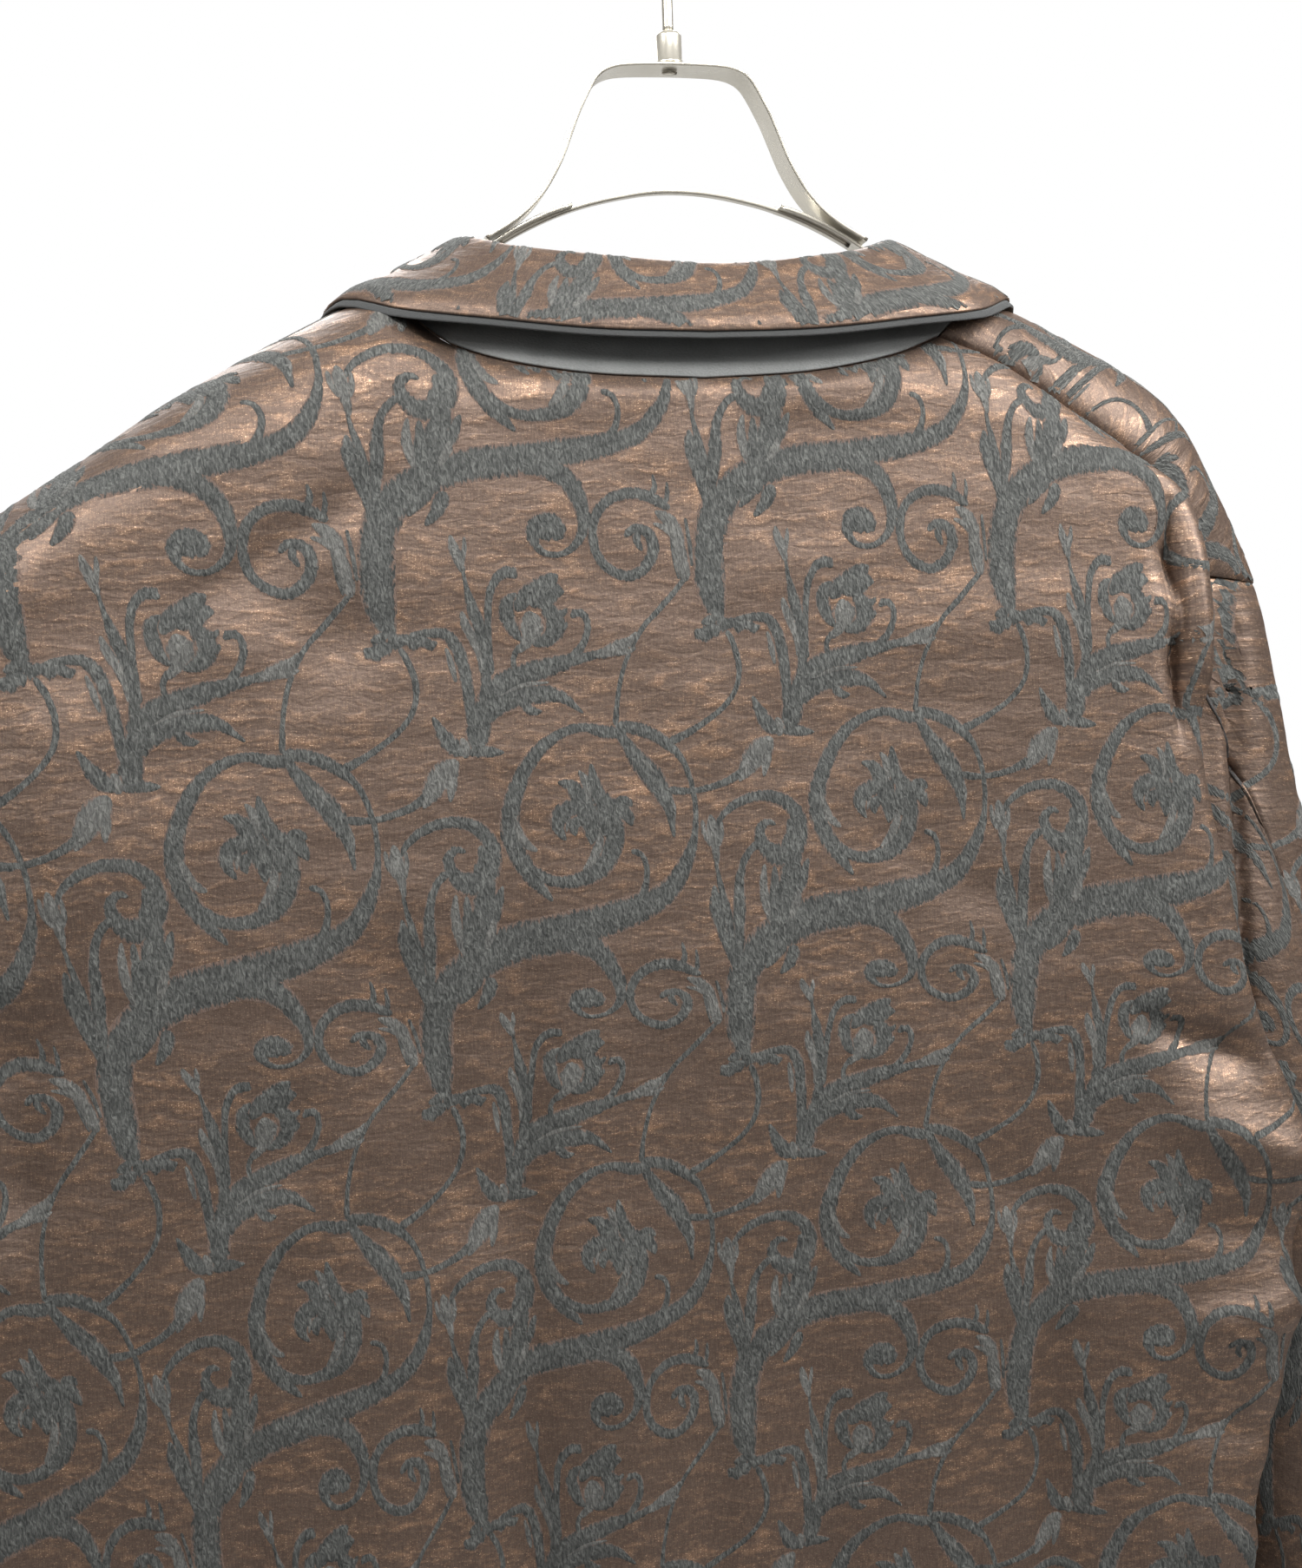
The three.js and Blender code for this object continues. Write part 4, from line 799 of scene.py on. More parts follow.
# ---- scrollwork ---------------------------------------------------------------------------
# The jacquard's figure: scrolling stems, curls, leaves and buds in matte grey-green yarn, with
# taupe yarn in the buds, floating proud of the ground. It repeats every 127 mm across and
# 187 mm down. Strokes are (yarn, points), each point across, down and the stroke's width (mm).
REPEAT = (127, 187)
SCROLL = (
    # the main stem leaves the top of the ring, runs down beside it and thickens into the trunk
    ("grey", (0, 0, 5), (10, 2.5, 6), (19, 8, 5.4), (26, 16, 3), (30, 30, 2.6), (30, 45, 3),
     (26, 57, 6.4), (18, 67, 8.5), (6, 72, 10), (-12, 75.5, 12.5), (-29, 78, 14), (-46, 79.5, 14),
     (-60, 83, 14.5), (-72, 89.5, 15), (-80, 98, 14.5), (-84, 110, 14), (-85.5, 126, 13.5),
     (-84.5, 138, 10.5), (-82, 146, 4)),
    ("grey", (3, 73, 6), (7.5, 66, 3.4), (9, 59, 2.6), (7, 53.5, 2.6), (3, 52, 3.2)),
    ("grey", (-62, -99, 6), (-67, -94, 6), (-72, -88, 2)),
    ("grey", (-58, -97, 7), (-61, -90, 6), (-66, -84, 2)),
    # under the stem it throws a curl with a round head
    ("grey", (-32, -107, 8), (-21, -106, 10), (-13, -101, 9), (-8.5, -93, 7.6), (-7, -84, 5.6),
     (-9.5, -76, 4), (-16, -71, 2.8), (-23, -71.5, 3), (-27, -76, 4)),
    ("grey", (-25.5, -73, 3), (-27, -79, 6), (-24.5, -83.5, 7.5), (-19.5, -84, 7.5), (-16.5, -80, 6),
     (-19, -76.5, 4)),
    ("grey", (-25, -78, 5), (-21.5, -79.5, 8), (-18, -79, 5)),
    # and beside the curl stands a spiral with thorns, ending in a taupe sheath
    ("grey", (21, -102, 1.2), (21.5, -97, 2.6), (19, -92, 4)),
    ("grey", (26.5, -99, 1), (26.5, -94, 2.2), (25.5, -90, 2.5)),
    ("grey", (27, -88, 4), (20, -92.5, 5.4), (12, -94.5, 5.4), (4, -92.5, 5), (-2, -86.5, 4.4),
     (-4, -77, 4.2), (-2, -68.5, 4.4), (3.5, -62.8, 4.8), (10, -61, 5.2), (16.5, -65, 5.4),
     (19.5, -72, 5.2), (17.5, -78.5, 5), (12, -80, 4.4), (8.5, -77, 3)),
    ("grey", (14, -81, 3), (13, -75.5, 3.6), (15, -71, 2)),
    ("taupe", (21, -87, 2), (25.5, -84, 6), (28.5, -79, 6.5), (29.5, -72, 6), (30.5, -65, 6.5),
     (32, -58, 4)),
    ("taupe", (20, -82, 1.4), (24.5, -80, 3), (28, -76, 3)),
    ("grey", (27.5, -83, 1.2), (27, -75, 1.4), (27.5, -66, 1.4), (29, -59, 1.2)),
    ("grey", (33, -84, 1.4), (34, -74, 2), (34.5, -64, 1.6)),
    ("grey", (32, -60, 2.4), (27, -54, 2.8), (20, -46.5, 2.8), (14, -40.5, 2.4), (9, -33, 2.4),
     (4.5, -23, 2.2), (1.5, -11, 2.2), (0, 0, 3)),
    # leaves and a half-open flower grow beside the trunk
    ("grey", (-85, -84, 2.6), (-85.5, -93, 3.4), (-88, -102, 4.4), (-90, -113, 6.6),
     (-90.5, -120, 1.6)),
    ("grey", (-85, -93, 2), (-85, -104, 4.4), (-86.5, -114, 4), (-88.5, -124, 2), (-89.5, -134, 1.8)),
    ("grey", (-84, -88, 3), (-82, -100, 4.6), (-80.5, -112, 6), (-79.5, -121, 4.4), (-77, -128, 3.6),
     (-72.5, -133, 3.6), (-67.5, -134, 4)),
    ("taupe", (-88.5, -127, 2), (-89, -134, 4.4), (-90, -141, 6.4), (-90.5, -147, 2)),
    ("taupe", (-89, -131, 1.4), (-86.5, -138, 3), (-86, -144, 1.4)),
    ("taupe", (-89, -132, 1.4), (-93, -139, 3), (-94, -145, 1.4)),
    ("taupe", (-67.5, -106, 2), (-69, -113, 4.6), (-69.5, -120, 4), (-68.5, -126, 1.4)),
    ("grey", (-66, -100, 7), (-65.5, -110, 6), (-64.5, -118, 5), (-64.5, -125, 2)),
    ("grey", (-63, -104, 7), (-60.5, -114, 9), (-57.5, -122, 10), (-55.5, -129, 7), (-56.5, -133, 3)),
    ("grey", (-58, -113, 7), (-53.5, -119, 6.5), (-51, -124, 4), (-49.5, -127, 1.4)),
    ("taupe", (-59, -107, 4), (-56, -112, 5), (-54.5, -117, 3)),
    ("grey", (-79, -92, 7), (-74, -98, 7.5), (-68, -103, 5)),
    # a serrated collar ties the trunk's foot, and two stems leave it
    ("grey", (-92.5, -38, 3), (-91, -36, 6.5), (-88.5, -36, 8.6), (-86.5, -37, 6.4), (-84.5, -37.5, 9),
     (-82.5, -38, 6)),
    ("grey", (-90, -40.5, 3), (-86.5, -41, 6), (-83.5, -43, 4), (-80.5, -39, 7), (-77.5, -40.5, 4.6),
     (-74.5, -38.5, 7), (-71.5, -39.5, 4.8), (-68.5, -37.5, 5.5), (-66, -38.5, 2)),
    ("grey", (-77, -41, 3), (-70, -42, 4), (-63, -41.5, 5), (-59, -36, 5.6), (-57, -27, 5.4),
     (-56, -14, 5), (-55.5, 0, 5)),
    ("taupe", (-63, -36, 1.4), (-61.5, -29, 3), (-60.5, -22, 1.4)),
    ("grey", (-80, -37, 3), (-77, -30, 3), (-75.5, -21, 2.8), (-77.5, -12, 2.6), (-83, -5, 2.6),
     (-91, 1, 2.8), (-99, 5.5, 3.6), (-106, 8.5, 4.4)),
    # a spray of buds, leaves and a flower opens out of the calyx
    ("taupe", (-57.5, -80, 1.2), (-57, -76, 4), (-55.5, -71, 4.4), (-54, -65, 2.6)),
    ("taupe", (-52.5, -79, 1), (-53, -74, 2.4), (-54.5, -68, 2)),
    ("grey", (-54.5, -70, 1.6), (-53.5, -60, 2), (-52, -52, 4.6), (-49.8, -43, 5.6), (-48.5, -33, 4.4),
     (-49, -20, 5), (-51, -8, 5)),
    ("taupe", (-56, -50, 1.4), (-55, -45, 4), (-52.6, -39, 4.2), (-50.6, -32, 3), (-50.5, -25, 1.4)),
    ("grey", (-46.8, -24, 3), (-46.8, -38, 3), (-46, -50, 3.2), (-44.5, -57.5, 3.6), (-41, -63, 4.4),
     (-36.5, -64.5, 6), (-34.5, -62, 4)),
    ("grey", (-37.5, -25, 3), (-38, -30, 2.4), (-35.5, -34, 3), (-31, -36, 4)),
    ("grey", (-35, -56, 2), (-38.5, -53, 5.4), (-39, -47, 6.4), (-37, -41, 5), (-34, -37, 2.4)),
    ("grey", (-35.5, -49, 5), (-31.5, -54, 9), (-26, -57, 10), (-21, -61, 7), (-18.5, -62.5, 3)),
    ("grey", (-30, -51, 8), (-25, -54, 12), (-20, -56, 8.5), (-16.5, -55.5, 3)),
    ("grey", (-25.5, -51, 6), (-21.5, -46.5, 8), (-21, -41, 8.5), (-24, -37, 7), (-30, -35, 3)),
    ("grey", (-21, -47, 5), (-17.6, -47, 3.4), (-16, -49, 1.2)),
    ("grey", (-21, -41, 5), (-17.6, -41.5, 3.4), (-16.4, -43.5, 1.2)),
    ("taupe", (-31, -48.5, 5), (-30.4, -45.5, 9.6), (-30, -42, 11), (-31, -38, 7.4), (-34, -34, 3.4),
     (-35.5, -32, 1.2)),
    ("grey", (-20, -24, 5), (-15, -29, 4.4), (-10.5, -34.5, 3.4), (-8.4, -41, 3), (-9.5, -46, 3.2),
     (-12.5, -47, 4.4), (-14.5, -45, 3)),
    ("grey", (-52, -10, 8), (-46, -18, 10), (-38, -22.5, 9), (-29, -24.5, 9.4), (-20, -27, 7.5),
     (-11, -28.5, 4.6), (-3, -30.5, 3.6), (4, -33.5, 3)),
    ("taupe", (-6, -28.5, 2.6), (0, -31, 6), (5, -33, 6.4), (8.5, -35.5, 3), (10.5, -38, 1.2)),
    ("taupe", (0, -30, 3), (6, -30, 3), (10, -31.5, 1.2)),
    ("grey", (-53, -4, 7), (-46, -11, 8.5), (-37, -14.5, 9), (-28, -15, 8.4), (-21, -13.5, 5.6),
     (-16, -9.5, 3), (-12.5, -6, 1.2)),
    ("grey", (-36, -12, 5), (-32, -8, 4.4), (-28.5, -8, 1.4)),
    ("taupe", (-44, -15.5, 1), (-35, -19, 2.4), (-25, -19.5, 1)),
    ("grey", (-55, 6, 9), (-53.5, -3, 10), (-50.5, -12, 8), (-46.5, -20, 3)),
    # the calyx closes the spray, and its stem runs on to the neighbouring ring
    ("grey", (-70.5, -9, 1.4), (-68, -3, 5), (-64.5, 3, 7.4), (-60, 7, 5)),
    ("grey", (-44.5, 7.5, 1.4), (-49, 7, 4.6), (-54, 6, 6), (-58, 7, 5)),
    ("taupe", (-60.5, 0.5, 3), (-59.5, 4, 5), (-59.5, 8.5, 4)),
    ("taupe", (-63, 9, 6), (-67, 13, 10.5), (-71.5, 18, 10.5), (-75.5, 23.5, 6), (-77.5, 27, 1.6)),
    ("taupe", (-65, 14, 4), (-66, 20, 4.4), (-67, 25.5, 1.4)),
    ("grey", (-74, 20, 3), (-79, 24.5, 4), (-86, 27.5, 3.4), (-97, 29.5, 3), (-107, 28, 3)),
    # the ring, and the curl inside it that carries a three-lobed flower head
    ("grey", (4, 3, 5), (-4, 2.5, 6), (-12, 0, 4.4), (-20, 1, 4.6), (-29, 6, 5.6), (-35.5, 13, 6.6),
     (-40.5, 22, 7.4), (-44, 32, 8.4), (-44.5, 42, 8.4), (-41.5, 51, 8), (-36.5, 59, 6.6),
     (-30, 67, 1.6)),
    ("taupe", (-43.5, 30, 1), (-42, 38, 3.6), (-39, 45, 4.2), (-34.5, 48.5, 2)),
    ("grey", (-42, 49, 4), (-36, 56.5, 5), (-28, 60.5, 4.6), (-18, 60.5, 6), (-9.5, 57, 8.4),
     (-4.6, 50, 9), (-3, 41, 8), (-5, 34, 6)),
    ("taupe", (-17, 57.5, 1.4), (-12.5, 53.5, 4.4), (-9.4, 47, 4), (-9, 41, 1.4)),
    ("grey", (-14, 33, 6), (-20, 32.5, 8), (-25, 36, 8.4), (-25.5, 41, 5), (-23, 45.5, 1.4)),
    ("grey", (-17, 37, 8), (-19.5, 40, 6), (-19, 44, 1.6)),
    ("grey", (-24.5, 21.5, 2), (-19.5, 23.5, 6), (-16, 29, 9), (-13.5, 36, 10), (-12, 43, 8),
     (-13, 48, 2)),
    ("grey", (-11, 15, 1.4), (-10.5, 21, 5), (-9, 28, 7), (-5, 33, 8), (0, 35, 8), (3, 39, 5),
     (4, 42, 1.6)),
    ("grey", (-8, 32, 7), (-7, 38, 9), (-6.5, 45, 8)),
    ("grey", (-2, 31, 4), (2.5, 31.5, 4), (4.5, 34, 2)),
    ("taupe", (-16, 17.5, 1.4), (-13.5, 22, 4.4), (-13, 27, 4.4), (-14, 32, 1.4)),
    ("taupe", (-20, 34, 1), (-21.5, 37.5, 2), (-22.5, 42, 1)),
    # a long leaf hangs from the crossing, and a thin stem runs from it to the next calyx
    ("grey", (0, 1, 4), (4.5, 9, 5.6), (9, 16, 8.6), (14, 23, 9.6), (17.5, 30, 8), (20, 38, 4.6),
     (21, 48, 1.4)),
    ("taupe", (7.5, 12, 1), (12, 17.5, 3.4), (16, 23, 1)),
    ("taupe", (20.5, 31, 1), (21.5, 36, 2.2), (21, 43, 1)),
    ("grey", (14, 26, 3), (21, 29, 2.8), (28, 30, 2.8)),
    # a square-shouldered curl fills the gap beside the ring
    ("grey", (-90.5, 52, 1.4), (-86.5, 42, 2.8), (-79, 36, 4.4), (-69, 33.5, 5.2), (-60, 35.5, 6),
     (-54, 41.5, 7), (-52.5, 49, 8), (-56, 56, 9.4), (-63, 58, 9.4), (-68.5, 54, 6.6), (-70, 48, 4.8),
     (-66.5, 44.5, 3.6), (-63, 46, 2)),
    ("grey", (-57, 44, 4), (-56.5, 50, 5), (-60, 54.5, 5)),
    ("taupe", (-53, 45, 1), (-52, 50, 2.2), (-55, 56, 1)),
)


def drift(cells):
    """Where lattice positions (repeats across, repeats down) lie on the hanging back, in mm:
    the weave is slack at the left and drawn closer towards the fold at the right."""
    a, b = cells[..., 0], cells[..., 1]
    across = -44.3 + 131.6 * a + 5.1 * b - 3.7 * a * a - 10.2 * a * b - 0.7 * b * b + 4.2 * a * a * b
    down = 374.7 - 4.5 * a + 185.1 * b + 2.4 * a * a - 6.5 * a * b - 5.5 * b * b + 2.3 * a * a * b
    across = across + 4 * np.exp(-((b - 0.66) / 0.18) ** 2)
    down = down + 9 * np.exp(-((b - 0.5) / 0.14) ** 2)
    return np.stack([across, down], -1)


PROUD = (0.0, 0.24, 0.34)      # how far a stroke stands off the ground: edge, quarter, middle
LEAST_WIDTH, WIDE_FROM = 0.8, 4.9      # a wide stroke has five rows of points, a narrow one three
FULL_WIDTH, LEAST_HEIGHT = 3, 0.55     # narrower strokes stand lower
TIP_STEP, TIP_SHARE, TIP_REACH = 0.7, 0.12, 0.45       # how a stroke's ends are rounded off


def brushed(points, pitch):
    """A stroke's mesh on flat cloth: places (n, m, 2), heights and edge shares (n, m)."""
    points = np.array(points, float)
    along = np.concatenate([[0], np.cumsum(np.linalg.norm(np.diff(points[:, :2], axis=0), axis=1))])
    table = {"d": along, "x": points[:, 0], "y": points[:, 1], "w": points[:, 2]}
    count = max(4, int(round(along[-1] / pitch)))
    d = np.linspace(0, along[-1], count + 1)
    d = np.unique(np.concatenate([d, [TIP_STEP, along[-1] - TIP_STEP]]))
    x, y, w = (read(table, "d", c, d) for c in "xyw")
    ends = np.minimum(d, along[-1] - d)
    w = np.maximum(w, LEAST_WIDTH)
    w = w * np.sqrt(np.clip(TIP_SHARE + ends / (TIP_REACH * w), 0, 1))
    dx, dy = np.gradient(x, d), np.gradient(y, d)
    size = np.hypot(dx, dy)
    side = np.stack([-dy / size, dx / size], -1)
    share = np.linspace(-1, 1, 5 if points[:, 2].max() > WIDE_FROM else 3)
    beside = side[:, None] * (w[:, None, None] / 2) * share[None, :, None]
    places = np.stack([x, y], -1)[:, None] + beside
    full = np.interp(np.abs(share), [0, 0.5, 1], PROUD[::-1])
    heights = full * np.clip(w / FULL_WIDTH, LEAST_HEIGHT, 1)[:, None]
    return places, heights, np.abs(share) + 0 * heights


ORDER_LIFT, TAUPE_LIFT = 0.02, 0.06    # crossing strokes lie at slightly different heights
MOST_STRETCH, MOST_GAP = 1.7, 0.6      # a cell pulled wider than this bridges a fold: left out


def scroll_object(panel, lattice, cells, materials, name, pitch=2.3):
    """Lays the scrollwork on a panel's outer face. `lattice` takes positions in repeats to mm."""
    columns, rows = panel.points.shape[:2]
    laid, surface, normals = panel.laid, panel.points + panel.normals * WALL / 2, panel.normals
    if panel.wraps:
        again = laid[:1].copy()
        again[..., 0] = panel.girth
        laid = np.concatenate([laid, again])
        surface, normals = (np.concatenate([x, x[:1]]) for x in (surface, normals))
        columns += 1
    quads = grid_cells(np.arange(columns * rows).reshape(columns, rows)).reshape(-1, 4).tolist()
    flat = [Vector((x, y, 0)) for x, y in laid.reshape(-1, 2).tolist()]
    tree = BVHTree.FromPolygons(flat, quads)
    surface, normals = surface.reshape(-1, 3), normals.reshape(-1, 3)
    points, faces, uv, rim, yarn = [], [], [], [], []
    base = 0
    low, high = laid.reshape(-1, 2).min(0), laid.reshape(-1, 2).max(0)
    strokes = [(kind, *brushed(line, pitch)) for kind, *line in SCROLL]
    for a, b in cells:
        for order, (kind, places, heights, share) in enumerate(strokes):
            spot = lattice(places / REPEAT + (a, b))
            n, m = spot.shape[:2]
            spot = spot.reshape(-1, 2)
            if (spot.max(0) < low).any() or (spot.min(0) > high).any():
                continue
            # each point takes its place from the corners of the cell of cloth that it lies on
            where, weight = np.zeros((n * m, 4), int), np.zeros((n * m, 4, 1))
            held = np.zeros(n * m, bool)
            for i, (x, y) in enumerate(spot.tolist()):
                hit, _, face, _ = tree.ray_cast(Vector((x, y, 1)), Vector((0, 0, -1)))
                if hit is not None:
                    held[i] = True
                    where[i] = quads[face]
                    weight[i, :, 0] = poly_3d_calc([flat[c] for c in quads[face]], hit)
            if held.sum() < 4:
                continue
            lift = heights + ORDER_LIFT * (order % 5) + (TAUPE_LIFT if kind == "taupe" else 0)
            normal = (normals[where] * weight).sum(1)
            stand = (surface[where] * weight).sum(1) + normal * lift.reshape(-1, 1)
            cell = grid_cells(np.arange(n * m).reshape(n, m))
            spread, flat_spread = (np.linalg.norm(x[cell[..., 2]] - x[cell[..., 0]], axis=-1)
                                   for x in (stand, spot))
            whole = spread < MOST_STRETCH * flat_spread + MOST_GAP
            cell = cell[held[cell].all(-1) & (panel.wraps | whole)]
            if not len(cell):
                continue
            points.append(stand)
            faces.append(cell + base)
            uv.append(spot[cell])
            rim.append(share.reshape(-1))
            yarn.append(np.full(len(cell), kind == "taupe"))
            base += n * m
    points, faces, uv, rim, yarn = (np.concatenate(x) for x in (points, faces, uv, rim, yarn))
    used, faces = np.unique(faces, return_inverse=True)
    faces = faces.reshape(-1, 4)
    faces, uv = faces[:, ::-1], uv[:, ::-1]
    mesh = bpy.data.meshes.new(name)
    mesh.from_pydata((points[used] * MM).tolist(), [], faces.tolist())
    mesh.uv_layers.new(name="grain").data.foreach_set("uv", (uv * MM).reshape(-1))
    mesh.attributes.new("rim", "FLOAT", "POINT").data.foreach_set("value", rim[used])
    mesh.polygons.foreach_set("material_index", yarn.astype(int))
    thing = linked(name, mesh, materials)
    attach(thing, "root")
    return thing


def float_yarn(name, dark, mid, light):
    """Matte figuring yarn: hairy floats that all slant one way. Near a stroke's edge they thin
    out, so the edge is ragged and the brown ground shows between them; towards the edge the
    yarn is also painted darker, a painted shade where the floats dip to the ground."""
    yarn = Finish(name, Roughness=0.85)
    weave = yarn.node("UVMap", {"uv_map": "grain"})
    floats = yarn.noise(weave, (780, 250, 1), 26, Detail=2.5, Roughness=0.6, Distortion=0.8)
    ply = yarn.node("Mapping", Vector=weave, Rotation=(0, 0, math.radians(33)), Scale=(150, 95, 1))
    plies = yarn.node("TexWave", Vector=ply, Scale=1.0, Distortion=11.0, Detail=3.0, Detail_Scale=2.2)
    hairs = yarn.noise(weave, (2300, 420, 1), 24, Detail=1.0)
    blotch = yarn.node("TexNoise", Vector=weave, Scale=130.0, Detail=2.0)
    edge = yarn.node("Attribute", {"attribute_name": "rim"}, output="Fac")
    strands = yarn.blend(0.14, floats, plies)
    tone = yarn.ramp(yarn.blend(0.25, strands, hairs), (0.34, dark), (0.5, mid), (0.66, light))
    tone = yarn.blend(yarn.ramp(blotch, (0.4, 0.0), (0.75, 0.4)), tone, dark)
    # painted shade: each stroke is painted darker towards its edges, where the floats dip to the ground
    tone = yarn.blend(yarn.ramp(edge, (0.45, 0.0), (0.95, 0.45)), tone, dark)
    bare = yarn.ramp(yarn.blend(0.5, edge, floats), (0.64, 0.0), (0.72, 0.9))
    yarn.feed("Base Color", yarn.blend(bare, tone, (0.15, 0.098, 0.074)))
    relief = yarn.node("Bump", Strength=0.9, Distance=0.0012, Height=strands)
    yarn.feed("Normal", yarn.node("Bump", Strength=0.4, Distance=0.0004, Height=hairs, Normal=relief))
    return yarn.material


yarns = (float_yarn("grey_green_floats", (0.027, 0.0285, 0.027), (0.074, 0.0755, 0.07),
                    (0.15, 0.152, 0.14)),
         float_yarn("taupe_floats", (0.055, 0.055, 0.051), (0.115, 0.113, 0.104),
                    (0.195, 0.192, 0.176)))
back_cells = [(a, b) for a in range(-3, 5) for b in range(-2, 4)]
back_scroll = scroll_object(back_panel, drift, back_cells, yarns, "back_scrollwork")

# ---- fronts -------------------------------------------------------------------------------
# Two fronts, lapped 18 mm past the middle, the wearer's left over the right. They start at the
# shoulder seams; the right one first climbs the back of the shoulder, where it caps the hanger.
LAP = 18
FRONT = {
    "left": stations(
        "z inX midY edgeX edgeY turnX turnY seamX seamY",
        (-200, 129, -40, 280, -38, 298, -30, 302, -18), (-250, 108, -48, 288, -41, 304, -33, 309, -24),
        (-330, 62, -53, 298, -46, 313, -40, 316, -28), (-430, -10, -56, 303, -47, 319, -41, 321, -28),
        (-450, -LAP, -56, 304, -47, 320, -41, 321, -27), (-572, -LAP, -56, 310, -46, 326, -32, 320, 0),
        (-720, -LAP, -53, 316, -42, 332, -28, 326, 0), (-960, -LAP, -50, 312, -42, 330, -28, 325, 0)),
    "right": stations(
        "z inX midY edgeX edgeY turnX turnY seamX seamY",
        (-200, 129, -40, 226, -36, 244, -30, 252, -20), (-250, 108, -46, 226, -38, 246, -32, 256, -22),
        (-330, 62, -50, 232, -45, 249, -38, 252, -28), (-380, 26, -52, 228, -52, 238, -46, 226, -33),
        (-430, -10, -52, 226, -55, 230, -46, 210, -31), (-450, -LAP, -52, 226, -56, 230, -46, 206, -30),
        (-502, -LAP, -52, 233, -58, 236, -45, 204, -22), (-572, -LAP, -52, 254, -58, 254, -41, 206, 0),
        (-700, -LAP, -49, 248, -56, 248, -40, 208, 0), (-745, -LAP, -48, 236, -55, 236, -38, 205, 0),
        (-860, -LAP, -46, 243, -54, 244, -38, 210, 0), (-960, -LAP, -46, 256, -52, 257, -36, 216, 0)),
}
# Soft upright folds on the sleeves and on the cloth that caps the right shoulder.
FOLDS = {
    "left": ((352, -340, -700, 12, 6), (396, -470, -860, 13, -7)),
    "right": ((232, -320, -540, 6, 4), (240.5, -324, -640, 3.2, -8), (256, -325, -620, 8, 2.5),
              (290, -430, -860, 12, -6)),
}
TUCK_CLEAR, TUCKED = 3.6, (0.7, 0.84)  # the right front's end lies this far under the back
FACING_Y = 12                  # a fold is full where the cloth is well behind the hanger
CLIMB_STEPS = np.linspace(0, 1, 15)[:-1]


def folded(side, points):
    """Presses the soft folds into the cloth behind the hanger."""
    x, y, z = np.moveaxis(points, -1, 0)
    lift = 0
    for middle, top, foot, width, rise in FOLDS[side]:
        along = np.clip((top - z) / (top - foot), 0, 1)
        lift = lift + rise * np.sin(math.pi * np.sqrt(along)) * np.exp(-((x - middle) / width) ** 2)
    return np.stack([x, y + np.maximum(0, np.tanh(y / FACING_Y)) * lift, z], -1)


def front_half(side, back):
    """A front: its points, outward from its free edge, and where they lie flat. Its side seam
    below the underarm is the back's."""
    table = FRONT[side]
    t = SEAM_STEPS
    seam, ridge = seam_at(side, t), ridge_at(side, t)
    climb = np.zeros((len(t), 0, 3))
    start = seam
    if side == "right":
        seam[:, 1] -= TUCK_CLEAR * smoothstep(t, *TUCKED)
        q = (1 - CLIMB_STEPS) * math.pi / 2
        climb = np.stack([mix(ridge[:, :1], seam[:, :1], 1 - np.cos(q)), seam[:, 1:2] * np.sin(q),
                          mix(ridge[:, 2:], seam[:, 2:], 1 - np.cos(q))], -1)
        start = ridge
    u = t * column_share(table, start, t)
    top = round_off(side, table, u, start, ROUND_STEPS)
    fractions = hem_fractions(top[-1, -1, 2])
    points = np.concatenate([climb, top, hang(table, u, top[:, -1, 2], fractions)], 1)
    laid = grain(table, u, points, climb.shape[1] + len(ROUND_STEPS), climb.shape[1])
    shared = len(SIDE_STEPS) + 1
    points[-1, -shared:] = back[-1, -shared:]
    return points, laid


OUTWARD = {"left": np.array([1, 1, 1]), "right": np.array([-1, 1, 1])}
TURN = {"left": -1, "right": 1}
WRINKLES = {"left": 31, "right": 47}   # each side's own random wrinkles
half_back = {side: back_half(side)[0] for side in OUTWARD}
half_front, front_laid, front_panel, front_cloth = {}, {}, {}, {}
for side in OUTWARD:
    half_front[side], front_laid[side] = front_half(side, half_back[side])
    half_front[side] = folded(side, half_front[side])
    panel = Panel("front_" + side + "_cloth", half_front[side] * OUTWARD[side],
                  front_laid[side] * OUTWARD[side][:2], TURN[side])
    crumple(panel, ("top", "last", "first"), 0.8, WRINKLES[side])
    panel.turn_hem()
    panel.roll_seams(("top", "last"))
    front_panel[side] = panel
    cloth = cloth_object(panel, (copper.material, backing.material))
    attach(cloth, "root")
    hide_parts("front_" + side)
    front_cloth[side] = cloth


def plain(offset):
    """The scrollwork's lattice on a panel where the cloth lies evenly."""
    return lambda cells: cells * REPEAT + np.array(offset)


CELLS = [(a, b) for a in range(-4, 5) for b in range(-1, 7)]
for side, offset, cut, area in (("left", (36, -30), (0.382, 0.79), 0.254),
                                ("right", (-20, -12), (0.348, 0.836), 0.225)):
    figure = scroll_object(front_panel[side], plain(offset), CELLS, yarns,
                           "front_" + side + "_scrollwork", 3.0)

# ---- sleeves ------------------------------------------------------------------------------
# Straight wide sleeves set into dropped armholes; each is one tube that hangs flat beside the
# body in soft upright folds, the right one pushed in behind the folded edge of the back.
SLEEVE = {
    "left": stations("z midX midY halfX halfY", (-290, 270, 0, 40, 34), (-340, 290, 0, 48, 38),
                     (-420, 318, 0, 52, 42), (-520, 356, -2, 57, 43), (-620, 392, -4, 57, 42),
                     (-740, 401, -8, 53, 40), (-845, 403, -12, 50, 37)),
    "right": stations("z midX midY halfX halfY", (-319, 226, 0, 37, 33), (-370, 232, -1, 42, 33),
                      (-412, 237, -1, 45, 33), (-500, 254, -1, 47, 33), (-600, 281, -1, 50, 34),
                      (-720, 288, -3, 50, 34), (-850, 291, -6, 48, 34)),
}
CUFF_Z = {"left": -842, "right": -848}
UNDERARM_CLEAR, UNDERARM_REACH = 4, {"left": 190, "right": 90}
ARMHOLE_TUCK, TUCK_REACH = {"left": 0, "right": 2}, 40
HEAD_SHARE = 0.55              # this far down, a sleeve has gone from its armhole's shape to its own
